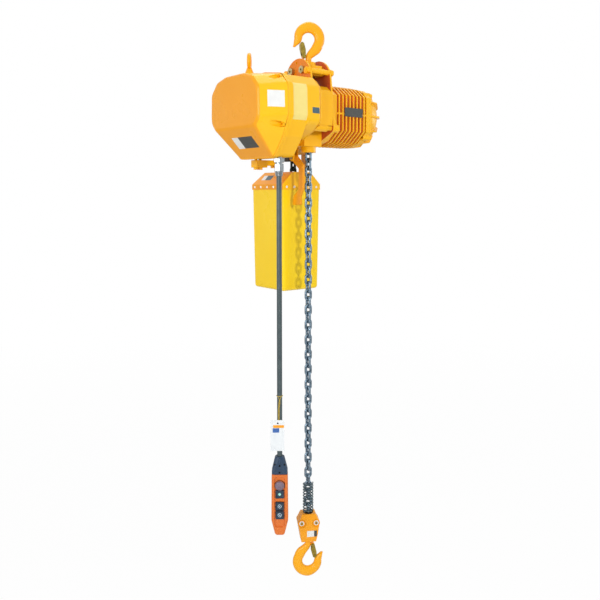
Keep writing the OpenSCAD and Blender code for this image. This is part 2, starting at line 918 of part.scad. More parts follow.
module motor_housing() {
    color("gold")
        difference() {
            union() {
                prism_x(motor_front, barrel_x + eps)
                    motor_shape(4);
                prism_x(barrel_x, motor_end)
                    motor_shape(fin_depth);
                for (i = [0:fin_count - 1])
                    prism_x(fin_x + i * fin_pitch, fin_x + i * fin_pitch + fin_t)
                        motor_shape();
                for (s = [-1, 1])
                    translate([barrel_x - 1, axis_y + s * 78 - 6, axis_z - 2.5])
                        cube([motor_end - barrel_x + 1, 12, 5]);
                rod_x(motor_front, stay_boss_x, stay_boss_d, [front_stay_y, lower_stay_z]);
                rod_x(motor_front, stay_boss_x, stay_boss_d, [rear_stay_y, lower_stay_z]);
                prism_x(motor_front, motor_front + 9)
                    polygon([[front_stay_y - 9, lower_stay_z + 6], [front_stay_y + 20, lower_stay_z - 6],
                        [front_stay_y + 20, lower_stay_z + 70], [front_stay_y + 10, lower_stay_z + 70]]);
                translate([ear_right_x - 8.5, ear_y - ear_w / 2 - 2, ear_right_z - 10])
                    cube([ear_t + 17, ear_w + 4, 60]);
            }
            rod_x(motor_front - 1, plate_in + 15.5, 68 + 2 * run_fit, [axis_y, axis_z]);
            rod_x(motor_front, barrel_x + 3, 47 + 2 * run_fit, [axis_y, axis_z]);
            rod_x(barrel_x + 2, motor_end + 1, stator_d + 2 * run_fit, [axis_y, axis_z]);
            for (y = [front_stay_y, rear_stay_y])
                rod_x(motor_front - 1, stay_boss_x + 1, stay_end_d + 2 * run_fit, [y, lower_stay_z]);
            translate([ear_right_x + ear_t / 2 - ear_slot / 2, ear_y - big / 2, ear_right_z - 11])
                cube([ear_slot, big, 26]);
            rod_x(ear_right_x - 20, ear_right_x + 20, pin_d + 2 * run_fit, [ear_y, ear_right_z]);
        }
}

module stator() {
    color("peru")
        turned_x([axis_y, axis_z])
            polygon([
                [rotor_d / 2 + 0.5, barrel_x + 12],
                [rotor_d / 2 + 4, barrel_x + 5],
                [stator_d / 2 - 6, barrel_x + 5],
                [stator_d / 2 - 6, barrel_x + 12],
                [stator_d / 2, barrel_x + 12],
                [stator_d / 2, motor_end - 12],
                [stator_d / 2 - 6, motor_end - 12],
                [stator_d / 2 - 6, motor_end - 5],
                [rotor_d / 2 + 4, motor_end - 5],
                [rotor_d / 2 + 0.5, motor_end - 12]]);
}

// Involute gear: the flank leaves the base circle, and below it the tooth narrows towards the root
function involute(r, base) = sqrt(pow(r / base, 2) - 1) * 180 / PI - acos(base / r);

function tooth_half(r, pitch, base) = involute(pitch, base) - involute(r, base);

module gear_shape(teeth, add, ded) {
    pitch = gear_module * teeth / 2;
    base = pitch * cos(pressure);
    tip = pitch + add * gear_module;
    root = pitch - ded * gear_module;
    low = max(base + 0.01, root);
    half = 90 / teeth - backlash / 2 / pitch * 180 / PI;
    radii = [for (k = [0:4]) low + (tip - low) * k / 4];
    flank = [for (r = radii) [r, half + tooth_half(r, pitch, base)]];
    foot = [root, min(flank[0][1], 180 / teeth * 0.8)];
    side = concat([foot], flank);
    polygon([for (t = [0:teeth - 1])
        for (p = concat([for (q = side) [q[0], -q[1]]], [for (i = [len(side) - 1:-1:0]) side[i]]))
            let (a = 360 * t / teeth + p[1])
            [p[0] * cos(a), p[0] * sin(a)]]);
}

module wheel_at(x, at, turn) {
    prism_x(x[0], x[1])
        translate(at)
            rotate(turn)
                gear_shape(wheel_teeth, wheel_add, tooth_ded);
}

module pinion_at(x, at, turn) {
    prism_x(x[0], x[1])
        translate(at)
            rotate(turn)
                gear_shape(pinion_teeth, pinion_add, pinion_ded);
}

module motor_rotor() {
    color("silver") {
        turned_x([axis_y, axis_z])
            polygon([
                [0, -web_out],
                [7.5 - run_fit, -web_out],
                [7.5 - run_fit, -web_in],
                [6, -web_in],
                [6, first_pinion[1] + 1],
                [9, first_pinion[1] + 1],
                [9, plate_in + 16],
                [10 - run_fit, plate_in + 16],
                [10 - run_fit, barrel_x + 1],
                [12, barrel_x + 1],
                [12, barrel_x + 12],
                [rotor_d / 2, barrel_x + 12],
                [rotor_d / 2, motor_end - 12],
                [12, motor_end - 12],
                [12, motor_end - 1],
                [10 - run_fit, motor_end - 1],
                [10 - run_fit, shield_end],
                [9, shield_end],
                [9, shield_end + 20],
                [0, shield_end + 20]]);
        pinion_at(first_pinion, [axis_y, axis_z], 180);
    }
}

module brake_disc() {
    color("dimgray")
        turned_x([axis_y, axis_z])
            polygon([
                [9 + run_fit, shield_end + 2],
                [16, shield_end + 2],
                [16, shield_end + 8],
                [disc_r, shield_end + 8],
                [disc_r, shield_end + 16],
                [16, shield_end + 16],
                [16, shield_end + 18],
                [9 + run_fit, shield_end + 18]]);
}

module brake_magnet() {
    color("slategray")
        difference() {
            union() {
                turned_x([axis_y, axis_z])
                    polygon([
                        [20, shield_end + 20],
                        [magnet_r, shield_end + 20],
                        [magnet_r, shield_end + 34],
                        [magnet_r - 4, shield_end + 36],
                        [20, shield_end + 36]]);
                for (a = [90, 210, 330])
                    translate([0, axis_y + stud_r * cos(a), axis_z + stud_r * sin(a)]) {
                        rod_x(shield_end + 20, shield_end + 34, 13, [0, 0]);
                        rod_x(shield_end, shield_end + 24, 7, [0, 0]);
                    }
            }
            rod_x(shield_end + 19, shield_end + 28, 60, [axis_y, axis_z]);
        }
}

module bearing(x0, w, inner, outer, at) {
    turned_x(at)
        polygon([
            [inner / 2, x0],
            [inner / 2 + (outer - inner) / 8, x0],
            [inner / 2 + (outer - inner) / 6, x0 + 0.8],
            [outer / 2 - (outer - inner) / 6, x0 + 0.8],
            [outer / 2 - (outer - inner) / 8, x0],
            [outer / 2, x0],
            [outer / 2, x0 + w],
            [outer / 2 - (outer - inner) / 8, x0 + w],
            [outer / 2 - (outer - inner) / 6, x0 + w - 0.8],
            [inner / 2 + (outer - inner) / 6, x0 + w - 0.8],
            [inner / 2 + (outer - inner) / 8, x0 + w],
            [inner / 2, x0 + w]]);
}

module shaft_bearings() {
    main = [axis_y, axis_z];
    lay = [lay_y, axis_z];
    color("lightsteelblue") {
        bearing(-plate_in - 15, 15, 2 * sheave_hub, 68, main);
        bearing(plate_in, 15, 2 * sheave_hub, 68, main);
        bearing(-web_out + 1, 11, 15, 35, main);
        bearing(plate_in + 16, 13, 20, 47, main);
        bearing(motor_end, 12, 20, 47, main);
        bearing(-web_out + 2, 10, 2 * lay_seat, 32, lay);
        bearing(-right_wall, 9, 2 * lay_seat, 32, lay);
    }
}

module at_shield_screws() {
    for (y = [-1, 1], z = [-1, 1])
        translate([0, axis_y + y * shield_screws[0], axis_z + z * shield_screws[1]])
            children();
}

module end_shield() {
    color("orange")
        difference() {
            union() {
                prism_x(motor_end, shield_end)
                    motor_shape(1);
                at_shield_screws()
                    rod_x(motor_end, shield_end, 17, [0, 0]);
                rod_x(motor_end - 4, motor_end + 1, stator_d, [axis_y, axis_z]);
            }
            rod_x(motor_end - 5, motor_end, stator_d - 10, [axis_y, axis_z]);
            rod_x(motor_end - 6, shield_end + 1, 47 + 2 * run_fit, [axis_y, axis_z]);
            at_shield_screws()
                rod_x(motor_end - 6, shield_end + 1, screw_d, [0, 0]);
            for (a = [90, 210, 330])
                rod_x(shield_end - 6, shield_end + 1, 7 + 2 * run_fit,
                    [axis_y + stud_r * cos(a), axis_z + stud_r * sin(a)]);
        }
}

// Domed cover over the brake, cast with a foot flange, screw bosses and radial ribs
module motor_end_cover() {
    color("orange")
        difference() {
            union() {
                turned_x([axis_y, axis_z])
                    polygon([
                        [0, dome_end],
                        [30, dome_end],
                        [55, dome_end - 8],
                        [71, dome_end - 24],
                        [79, dome_end - 46],
                        [80, shield_end],
                        [0, shield_end]]);
                prism_x(shield_end, shield_end + 6)
                    motor_shape(1);
                at_shield_screws()
                    rod_x(shield_end, shield_end + 14, 17, [0, 0]);
                for (i = [0:rib_count - 1])
                    translate([0, axis_y, axis_z])
                        rotate([i * 360 / rib_count, 0, 0])
                            prism_y(-2.5, 2.5)
                                polygon([[dome_end + 2, 20], [dome_end - 1, 58], [dome_end - 22, 80],
                                    [shield_end + 16, 84], [shield_end + 2, 80], [shield_end + 2, 20]]);
            }
            turned_x([axis_y, axis_z])
                polygon([
                    [0, dome_end - 5],
                    [29, dome_end - 5],
                    [52, dome_end - 13],
                    [66, dome_end - 27],
                    [74, dome_end - 47],
                    [75, shield_end - 1],
                    [0, shield_end - 1]]);
            at_shield_screws()
                rod_x(shield_end - 1, shield_end + 15, screw_d + 0.4, [0, 0]);
        }
}

// Room for one flat link, cut square with its corners taken off
module link_room(extra) {
    long = link_inner / 2 + chain_wire + slot_gap + extra;
    wide = link_w / 2 + slot_gap / 2;
    cut = wide * 0.55;
    linear_extrude(sheave_r)
        polygon([[-long, -wide + cut], [-long + cut, -wide], [long - cut, -wide], [long, -wide + cut],
            [long, wide - cut], [long - cut, wide], [-long + cut, wide], [-long, wide - cut]]);
}

// Pocket in the sheave, opened out above the floor so that a link can swing in and out of it
module link_pocket() {
    translate([0, 0, pocket_floor])
        link_room(0);
    translate([0, 0, pocket_floor + 3])
        link_room(pocket_flare);
}

module load_sheave() {
    color("dimgray")
        difference() {
            turned_x([axis_y, axis_z])
                polygon([
                    [sheave_bore, second_wheel[0] - 2],
                    [gear_seat, second_wheel[0] - 2],
                    [gear_seat, second_wheel[1]],
                    [sheave_hub - run_fit, second_wheel[1]],
                    [sheave_hub - run_fit, -sheave_half],
                    [sheave_r - 3, -sheave_half],
                    [sheave_r, -sheave_half + 3],
                    [sheave_r, -groove_w / 2],
                    [groove_r, -groove_w / 2],
                    [groove_r, groove_w / 2],
                    [sheave_r, groove_w / 2],
                    [sheave_r, sheave_half - 3],
                    [sheave_r - 3, sheave_half],
                    [sheave_hub - run_fit, sheave_half],
                    [sheave_hub - run_fit, plate_in + 15],
                    [sheave_bore, plate_in + 15]]);
            for (k = [0:sheave_pockets - 1])
                translate([0, axis_y, axis_z])
                    rotate([link_angle / 2 + k * 2 * link_angle - 90, 0, 0])
                        rotate([0, 0, 90])
                            link_pocket();
        }
}

module output_wheel() {
    color("gray")
        difference() {
            wheel_at(second_wheel, [axis_y, axis_z], 0);
            rod_x(second_wheel[0] - 1, second_wheel[1] + 1, 2 * (gear_seat + run_fit), [axis_y, axis_z]);
        }
}

module lay_shaft() {
    color("gray") {
        turned_x([lay_y, axis_z])
            polygon([
                [0, -web_out + 1.5],
                [lay_seat - run_fit, -web_out + 1.5],
                [lay_seat - run_fit, -plate_out - 1],
                [0, -plate_out - 1]]);
        wheel_at(first_wheel, [lay_y, axis_z], 180 / wheel_teeth);
        pinion_at([first_wheel[1] - 1, second_pinion[1]], [lay_y, axis_z], 0);
    }
}

// One link, standing along Z in the XZ plane
module link() {
    for (s = [-1, 1])
        translate([s * link_mean, 0, -link_leg / 2])
            cylinder(d = chain_wire, h = link_leg, $fn = 20);
    for (turn = [0, 180])
        rotate([0, turn, 0])
            translate([0, 0, link_leg / 2])
                rotate([90, 0, 0])
                    rotate_extrude(angle = 180, $fn = 20)
                        translate([link_mean, 0]) circle(d = chain_wire, $fn = 20);
}

// Links of the hanging run, counted down from the sheave; those below the guide take up the block's turn
module fall_link(i) {
    turn = i % 2 == 0 ? 90 : 0;
    rotate([0, 0, turn + block_turn * max(0, min(1, (i - straight_links) / twist_links))])
        translate([0, 0, fall_start - i * chain_pitch])
            link();
}

module load_chain_fall() {
    color("slategray")
        for (i = [0:fall_links - end_links - 1])
            fall_link(i);
}

module load_chain_end() {
    color("slategray")
        for (i = [fall_links - end_links:fall_links - 1])
            fall_link(i);
}

module slack_chain() {
    color("darkslategray") {
        for (k = [0:sheave_pockets - 1])
            translate([0, axis_y, axis_z])
                rotate([(k + 0.5) * link_angle, 0, 0])
                    translate([0, k % 2 == 0 ? flat_mid : upright_mid, 0])
                        rotate([0, 0, k % 2 == 0 ? 0 : 90])
                            link();
        for (i = [0:slack_links - 1])
            translate([0, slack_y, fall_start - i * chain_pitch])
                rotate([0, 0, i % 2 == 0 ? 90 : 0])
                    link();
    }
}

// Cross-shaped way for the chain, wide enough for flat and upright links
module chain_way(y, z0, z1) {
    wide = link_w + 2 * slot_gap;
    thin = chain_wire + 2 * slot_gap;
    for (size = [[wide, thin], [thin, wide]])
        translate([-size[0] / 2, y - size[1] / 2, z0])
            cube([size[0], size[1], z1 - z0]);
}

module chain_guide() {
    color("orange")
        difference() {
            union() {
                translate([-plate_in, guide_y[0], guide_floor])
                    cube([plate_gap, guide_y[1] - guide_y[0], guide_top - guide_floor]);
                translate([0, 0, mouth_floor])
                    cylinder(d = mouth_d, h = guide_floor - mouth_floor + 1);
                for (x = [lever_x[0] - play - lug_t, lever_x[1] + play]) {
                    rod_x(x, x + lug_t, lever_boss, lever_pivot);
                    translate([x, lever_pivot[0] - lever_boss / 2, lever_pivot[1]])
                        cube([lug_t, lever_boss, guide_floor - lever_pivot[1] + 1]);
                }
            }
            rod_x(-plate_gap, plate_gap, 2 * (sheave_r + 2.5), [axis_y, axis_z]);
            chain_way(0, slot_floor - 1, guide_top + 1);
            translate([0, 0, mouth_floor - 1])
                cylinder(d = link_w + 3 * slot_gap, h = slot_floor - mouth_floor + 1);
            chain_way(slack_y, guide_floor - 1, guide_top + 1);
            rod_x(-plate_gap, plate_gap, guide_rod_d + 2 * run_fit, [axis_y, guide_rod_z]);
            rod_x(-plate_gap, 0, pin_d + 2 * run_fit, lever_pivot);
        }
}

// Cast tongue that the rising hook block lifts: forward beside the chain, then down to a broad foot
module limit_lever() {
    y = lever_pivot[0];
    z = lever_pivot[1];
    color("darkorange")
        difference() {
            union() {
                rod_x(lever_x[0], lever_x[1], lever_boss, lever_pivot);
                prism_x(lever_x[0] + 1, lever_x[1] - 1)
                    rounded(2.5)
                        polygon([[y - 4, z - 3], [y - 4, z + 7], [y - 16, z + 4], [y - 43, z - 20],
                            [y - 43, z - 84], [y - 31, z - 106],
                            [y - 33, lever_tip + 3], [y - 30, lever_tip],
                            [y + 2, lever_tip], [y + 2, lever_tip + 7], [y - 3, z - 102], [y - 24, z - 86],
                            [y - 24, z - 30], [y + 5, z - 7]]);
            }
            rod_x(lever_x[0] - 1, lever_x[1] + 1, pin_d + 2 * run_fit, lever_pivot);
        }
}

module limit_switch() {
    color("dimgray") {
        translate([-plate_in + 0.5, lever_pivot[0] + 12, guide_floor - 38])
            cube([16, 28, 38]);
        rod_y(lever_pivot[0] + lever_boss / 2 + play, lever_pivot[0] + 13, 5,
            [(lever_x[0] + lever_x[1]) / 2, lever_pivot[1]]);
    }
}

// A rim-high block with round lower corners, drawn in towards the floor
module bucket_form(inset, rise) {
    r = bucket_round - inset;
    hull() {
        translate([bucket_x + inset, bucket_y + inset, bucket_rim - 1 + rise])
            cube([bucket_w - 2 * inset, bucket_d - 2 * inset, 1]);
        for (x = [bucket_x, bucket_x + bucket_w], y = [bucket_y, bucket_y + bucket_d])
            translate([
                x + (x == bucket_x ? 1 : -1) * (bucket_round + bucket_taper),
                y + (y == bucket_y ? 1 : -1) * (bucket_round + bucket_taper),
                bucket_rim - bucket_h + bucket_round])
                sphere(r = r, $fn = 24);
    }
}

module chain_bucket() {
    color("gold")
        difference() {
            bucket_form(0, 0);
            bucket_form(bucket_wall, 1);
            rivet_shanks();
        }
}

// The hood's solid form: a straight skirt round the bucket rim, then sides that slope in to the open top
module hood_form(inset) {
    out = hood_fit + hood_t - inset;
    hull() {
        translate([bucket_x - out, bucket_y - out, bucket_rim - 1])
            cube([bucket_w + 2 * out, bucket_d + 2 * out, 1]);
        translate([bucket_x + hood_side_in - out, bucket_y + hood_front_in - out,
            bucket_rim + hood_h - eps])
            cube([bucket_w - 2 * hood_side_in + 2 * out, bucket_d - hood_front_in - hood_in + 2 * out,
                eps + inset]);
    }
}

module hood_ear(x, top) {
    difference() {
        translate([x, ear_y - ear_w / 2, ear_foot])
            cube([ear_t, ear_w, top + 8 - ear_foot]);
        rod_x(x - 1, x + ear_t + 1, pin_d + 2 * run_fit, [ear_y, top]);
    }
}

module bucket_hood() {
    out = hood_fit + hood_t;
    color("orange") {
        difference() {
            union() {
                hood_form(0);
                translate([bucket_x - out, bucket_y - out, bucket_rim - hood_lap])
                    cube([bucket_w + 2 * out, bucket_d + 2 * out, hood_lap]);
            }
            hood_form(hood_t);
            translate([bucket_x - hood_fit, bucket_y - hood_fit, bucket_rim - hood_lap - 1])
                cube([bucket_w + 2 * hood_fit, bucket_d + 2 * hood_fit, hood_lap + 1]);
            rivet_shanks();
        }
        hood_ear(ear_left_x, ear_left_z);
        hood_ear(ear_right_x, ear_right_z);
    }
}

// Places the children on the hood's skirt, facing out, five to a side
module at_rivets() {
    z = bucket_rim - hood_lap / 2;
    for (i = [0:4]) {
        x = bucket_x + 12 + i * (bucket_w - 24) / 4;
        y = bucket_y + 12 + i * (bucket_d - 24) / 4;
        for (end = [[x, bucket_y, 90], [x, bucket_y + bucket_d, -90]])
            translate([end[0], end[1], z])
                rotate([end[2], 0, 0])
                    children();
        for (end = [[bucket_x, y, -90], [bucket_x + bucket_w, y, 90]])
            translate([end[0], end[1], z])
                rotate([0, end[2], 0])
                    children();
    }
}

module rivet_shanks() {
    at_rivets()
        translate([0, 0, -bucket_wall - 3])
            cylinder(d = rivet_shank + 2 * run_fit, h = bucket_wall + 8);
}

module hood_rivets() {
    out = hood_fit + hood_t;
    color("white")
        at_rivets() {
            translate([0, 0, -bucket_wall]) cylinder(d = rivet_shank, h = bucket_wall + out + eps);
            translate([0, 0, out]) cylinder(d1 = rivet_d, d2 = rivet_d - 3.5, h = 2);
        }
}

// Bar bolted under the gear housing, with a fork at its end for the bucket's left ear
module bucket_bracket() {
    fork = ear_left_x + ear_t / 2;
    color("orange")
        difference() {
            translate([bracket_end, ear_y - bracket_w / 2, -body_floor - bracket_h])
                cube([fork + 10 - bracket_end, bracket_w, bracket_h]);
            translate([fork - ear_slot / 2, ear_y - bracket_w, -body_floor - bracket_h - 1])
                cube([ear_slot, 2 * bracket_w, bracket_h - 1]);
            rod_x(fork - 20, fork + 20, pin_d + 2 * run_fit, [ear_y, ear_left_z]);
            for (x = bracket_bolts)
                translate([x, ear_y, -body_floor - bracket_h - 1])
                    cylinder(d = screw_d + 0.4, h = bracket_h + 2);
            translate([-step_x + 8, ear_y - bracket_w, -body_floor - bracket_h - 1])
                cube([fork - 14 + step_x - 8, 2 * bracket_w, 7]);
        }
}

module hanger_pins() {
    left = ear_left_x + ear_t / 2;
    right = ear_right_x + ear_t / 2;
    color("silver") {
        rod_x(left - 10, left + 10, pin_d, [ear_y, ear_left_z]);
        rod_x(right - 10, right + 10, pin_d, [ear_y, ear_right_z]);
        rod_x(lever_x[0] - lug_t - 2, lever_x[1] + lug_t + 2, pin_d, lever_pivot);
    }
}

module eye_bolt() {
    ring_z = eye_seat + eye_collar[1] + eye_mean + 1.5;
    color("orange")
        translate([eye_x, axis_y, 0]) {
            difference() {
                union() {
                    translate([0, 0, ring_z])
                        rotate([0, 0, eye_turn])
                            rotate([90, 0, 0])
                                rotate_extrude()
                                    translate([eye_mean, 0]) circle(d = eye_wire);
                    translate([0, 0, eye_seat])
                        cylinder(d1 = eye_collar[0], d2 = eye_collar[0] / 2, h = eye_collar[1] + 2);
                    translate([0, 0, eye_seat - eye_stub[1]])
                        cylinder(d = eye_stub[0], h = eye_stub[1] + 1);
                }
                translate([0, 0, ring_z])
                    rotate([0, 0, eye_turn])
                        rotate([90, 0, 0]) cylinder(d = eye_bore, h = 3 * eye_wire, center = true);
            }
        }
}

module cable_gland() {
    bore = cable_d + 2 * (run_fit + 0.05);
    color("gainsboro")
        translate([cable_at[0], cable_at[1], 0])
            difference() {
                union() {
                    translate([0, 0, gland_top - eps]) cylinder(d = gland_stub, h = wall + lip);
                    translate([0, 0, gland_top - 11])
                        cylinder(d = gland_af / cos(30), h = 11, $fn = 6);
                    translate([0, 0, gland_top - 16]) cylinder(d = cap_af - 3, h = 6);
                    translate([0, 0, gland_top - 34])
                        cylinder(d = cap_af / cos(30), h = 19, $fn = 6);
                    translate([0, 0, gland_end])
                        cylinder(d1 = cable_d + 4, d2 = cap_af - 1, h = gland_top - 34 - gland_end + eps);
                }
                translate([0, 0, gland_end - 1])
                    cylinder(d = bore, h = gland_top - gland_end + 2 - 5);
                translate([0, 0, gland_top - 10]) cylinder(d = gland_stub - 5, h = 40);
            }
}

// A round tube of even sides swept down a list of points
module swept_tube(points, d, sides) {
    rings = [for (p = points, j = [0:sides - 1])
        let (a = 360 * j / sides)
        p + [d / 2 * cos(a), -d / 2 * sin(a), 0]];
    polyhedron(rings, tube_faces(len(points), sides));
}

module pendant_cable() {
    color("darkslategray")
        swept_tube(cable_route, cable_d, cable_sides);
}

module cable_tag() {
    front = -cable_d / 2 - 0.2;
    color("white")
        at_pendant() {
            translate([tag_shift - tag_size[0] / 2, front - tag_size[1], tag_top - tag_size[2]])
                cube(tag_size);
            translate([0, 0, tag_top - 14])
                difference() {
                    cylinder(d = cable_d + 0.4 + 2 * tag_size[1], h = 8);
                    translate([0, 0, -1]) cylinder(d = cable_d + 0.4, h = 10);
                }
        }
}

module at_pendant() {
    translate([cable_at[0], cable_at[1], 0])
        rotate([0, 0, pendant_turn])
            children();
}

module button_pocket(z) {
    room = button_w + 2 * play;
    translate([-room / 2, panel_face - 1, z - room / 2])
        cube([room, 1 + button_depth, room]);
}

module pendant_body() {
    half = pendant_w / 2;
    foot = boot_floor - pendant_h;
    color("orangered")
        at_pendant()
            difference() {
                prism_y(-pendant_t / 2, pendant_t / 2)
                    hull() {
                        translate([1 - half, boot_floor - 1])
                            square([2 * half - 2, 1]);
                        for (s = [-1, 1], at = [[half - 8, foot + 42], [half - 16.5, foot + 8]])
                            translate([s * at[0], at[1]])
                                circle(r = 8, $fn = 32);
                    }
                prism_y(-pendant_t / 2 - 1, panel_face)
                    rounded(8)
                        translate([-panel_w / 2, panel_floor_z])
                            square([panel_w, panel_top_z - panel_floor_z]);
                for (z = [start_z, up_z, down_z])
                    button_pocket(z);
                rod_y(panel_face - 1, panel_face + button_depth + 4, stop_neck + 2 * run_fit, [0, stop_z]);
            }
}

// Rubber boot: round at the cable, square where it grips the body
module pendant_boot() {
    color("midnightblue")
        at_pendant()
            difference() {
                hull() {
                    translate([0, 0, boot_top - 2]) cylinder(d = 25, h = 2, $fn = 32);
                    translate([0, 0, boot_floor])
                        linear_extrude(8)
                            rounded(6, $fn = 32)
                                square([pendant_w - 3, pendant_t - 1], center = true);
                }
                translate([0, 0, boot_floor + 14])
                    cylinder(d = cable_d + 2 * (run_fit + 0.05), h = 100);
            }
}

// Square push button, its face slightly dished
module push_button(z) {
    at_pendant()
        difference() {
            translate([0, 0, z])
                prism_y(panel_face - 5, panel_face + button_depth - press - play)
                    rounded(2)
                        square(button_w, center = true);
            translate([0, panel_face - 5 - 58.8, z]) sphere(r = 60);
        }
}

module start_button() {
    color("teal")
        push_button(start_z);
}

module up_button() {
    color("midnightblue")
        push_button(up_z);
}

module down_button() {
    color("midnightblue")
        push_button(down_z);
}

module stop_button() {
    face = panel_face - press - play;
    color("rosybrown")
        at_pendant()
            translate([0, face, stop_z])
                rotate([90, 0, 0])
                    rotate_extrude()
                        polygon([
                            [0, -press - play - button_depth],
                            [stop_neck / 2, -press - play - button_depth],
                            [stop_neck / 2, 0],
                            [stop_d / 2, 0],
                            [stop_d / 2, 3],
                            [stop_d / 2 - 2, 6],
                            [stop_d / 2 - 6, 7.6],
                            [0, 8.2]]);
}

module block_form() {
    intersection() {
        prism_y(-block_deep, block_deep)
            polygon(both_sides([[20, block_top], [block_half, block_top - 23],
                [block_half - 0.5, block_top - 37], [21, block_floor]]));
        prism_x(-block_half, block_half)
            polygon(both_sides([[17, block_top], [block_deep, block_top - 16],
                [block_deep, block_floor + 22], [17, block_floor]]));
    }
}

module block_half_cut() {
    difference() {
        union() {
            block_form();
            for (s = [-1, 1])
                rod_y(-block_deep, block_deep, bolt_boss_d, [s * bolt_x, bolt_z]);
        }
        translate([0, 0, well_floor]) cylinder(d = chain_well_d, h = block_h);
        translate([0, 0, load_thrust_z])
            cylinder(d = nut_room, h = thrust_h + play + shank_nut_h + 1);
        translate([0, 0, block_floor - 1]) cylinder(d = shank_d + 2 * run_fit, h = 30);
        rod_y(-block_deep + 5, block_deep - 5, chain_pin_d + 2 * run_fit, [0, chain_pin_z]);
        for (s = [-1, 1]) {
            rod_y(-block_deep - 1, block_deep + 1, bolt_d + 2 * run_fit, [s * bolt_x, bolt_z]);
            rod_y(-block_deep - 1, -bolt_seat, bolt_head[0] + 2, [s * bolt_x, bolt_z]);
            rod_y(bolt_seat, block_deep + 1, bolt_head[0] + 2, [s * bolt_x, bolt_z]);
        }
    }
}

module block_half_front() {
    color("orange")
        at_block()
            intersection() {
                block_half_cut();
                translate([-50, -100, block_floor - 10])
                    cube([100, 100, block_h + 20]);
            }
}

module block_half_rear() {
    color("orange")
        at_block()
            intersection() {
                block_half_cut();
                translate([-50, 0, block_floor - 10])
                    cube([100, 100, block_h + 20]);
            }
}

module block_bolts() {
    color("silver")
        at_block()
            for (s = [-1, 1]) {
                rod_y(-bolt_seat, bolt_seat, bolt_d, [s * bolt_x, bolt_z]);
                rod_y(-bolt_seat - bolt_head[1], -bolt_seat, bolt_head[0], [s * bolt_x, bolt_z]);
                translate([s * bolt_x, bolt_seat + bolt_head[1], bolt_z])
                    rotate([90, 0, 0]) cylinder(d = bolt_head[0], h = bolt_head[1], $fn = 6);
            }
}

module chain_pin() {
    color("silver")
        at_block()
            rod_y(-block_deep + 5, block_deep - 5, chain_pin_d, [0, chain_pin_z]);
}

// Buffer spring round the chain: one tube wound on a helix, its ends straight for one wire diameter
spring_rings = 8;
spring_sides = 6;
spring_rise = spring_pitch / 360;

function spring_point(a) = [spring_mean * cos(a), spring_mean * sin(a), spring_floor + a * spring_rise];
function spring_way(a) = [-sin(a), cos(a), spring_rise * 180 / PI / spring_mean];

spring_end = 360 * spring_turns;
spring_centres = concat(
    [spring_point(0) - spring_wire * [0, 1, 0]],
    [for (i = [0:spring_rings * spring_turns]) spring_point(i * 360 / spring_rings)],
    [spring_point(spring_end) + spring_wire * [0, 1, 0]]);
spring_angles = concat([0], [for (i = [0:spring_rings * spring_turns]) i * 360 / spring_rings],
    [spring_end]);

function spring_ring(i) =
    let (a = spring_angles[i], out = [cos(a), sin(a), 0],
        way = spring_way(a) / norm(spring_way(a)), up = cross(out, way))
    [for (j = [0:spring_sides - 1])
        let (b = 360 * j / spring_sides)
        spring_centres[i] + spring_wire / 2 * (out * cos(b) + up * sin(b))];

spring_gap = min([for (i = [0:len(spring_centres) - 1], k = [0:len(spring_centres) - 1])
    if (k > i + spring_rings / 2) norm(spring_centres[k] - spring_centres[i]) - spring_wire]);
echo(spring_gap = spring_gap);

module buffer_spring() {
    color("darkslategray")
        at_block()
            polyhedron([for (i = [0:len(spring_centres) - 1]) each spring_ring(i)],
                tube_faces(len(spring_centres), spring_sides));
}

control_cover();
housing_screws();
control_panel();
contactors();
transformer();
gear_housing();
side_plate_left();
side_plate_right();
stay_rods();
frame_nuts();
sheave_cover();
yoke_block();
yoke_shafts();
top_hook();
top_hook_bearing();
top_hook_nut();
top_latch();
top_latch_pin();
motor_housing();
stator();
motor_rotor();
brake_disc();
brake_magnet();
shaft_bearings();
end_shield();
motor_end_cover();
load_sheave();
output_wheel();
lay_shaft();
chain_guide();
load_chain_fall();
load_chain_end();
slack_chain();
limit_lever();
limit_switch();
chain_bucket();
bucket_hood();
hood_rivets();
bucket_bracket();
hanger_pins();
eye_bolt();
cable_gland();
pendant_cable();
cable_tag();
pendant_body();
pendant_boot();
stop_button();
start_button();
up_button();
down_button();
block_half_front();
block_half_rear();
block_bolts();
chain_pin();
buffer_spring();
load_hook();
load_hook_bearing();
load_hook_nut();
load_latch();
load_latch_pin();
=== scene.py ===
# A single-fall electric chain hoist hanging by its top hook, with its chain bucket and push-button pendant.
import math

import bmesh
import bpy
from mathutils import Matrix, Vector
from mathutils.bvhtree import BVHTree


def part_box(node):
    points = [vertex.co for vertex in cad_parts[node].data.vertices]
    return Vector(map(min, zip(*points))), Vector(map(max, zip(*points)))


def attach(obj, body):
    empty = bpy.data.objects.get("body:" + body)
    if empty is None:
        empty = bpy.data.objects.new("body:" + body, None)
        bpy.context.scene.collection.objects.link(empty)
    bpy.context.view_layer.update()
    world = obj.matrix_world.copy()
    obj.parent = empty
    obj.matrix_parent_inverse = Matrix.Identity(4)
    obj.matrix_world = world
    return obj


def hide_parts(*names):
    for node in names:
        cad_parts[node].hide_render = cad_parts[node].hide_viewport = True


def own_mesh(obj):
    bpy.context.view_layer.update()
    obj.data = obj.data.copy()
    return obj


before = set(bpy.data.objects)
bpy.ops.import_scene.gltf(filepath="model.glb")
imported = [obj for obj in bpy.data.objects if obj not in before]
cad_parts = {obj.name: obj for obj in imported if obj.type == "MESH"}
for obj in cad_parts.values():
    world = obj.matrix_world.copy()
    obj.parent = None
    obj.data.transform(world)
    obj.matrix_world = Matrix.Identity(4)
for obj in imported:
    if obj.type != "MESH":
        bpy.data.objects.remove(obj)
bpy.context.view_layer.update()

# The camera: an upright view from the control end, 38 degrees round from the chain's own front.
# The frame is lowered by the lens shift, so the long falls of chain and cable stay parallel.
view_turn, view_dip = 38, 4.9
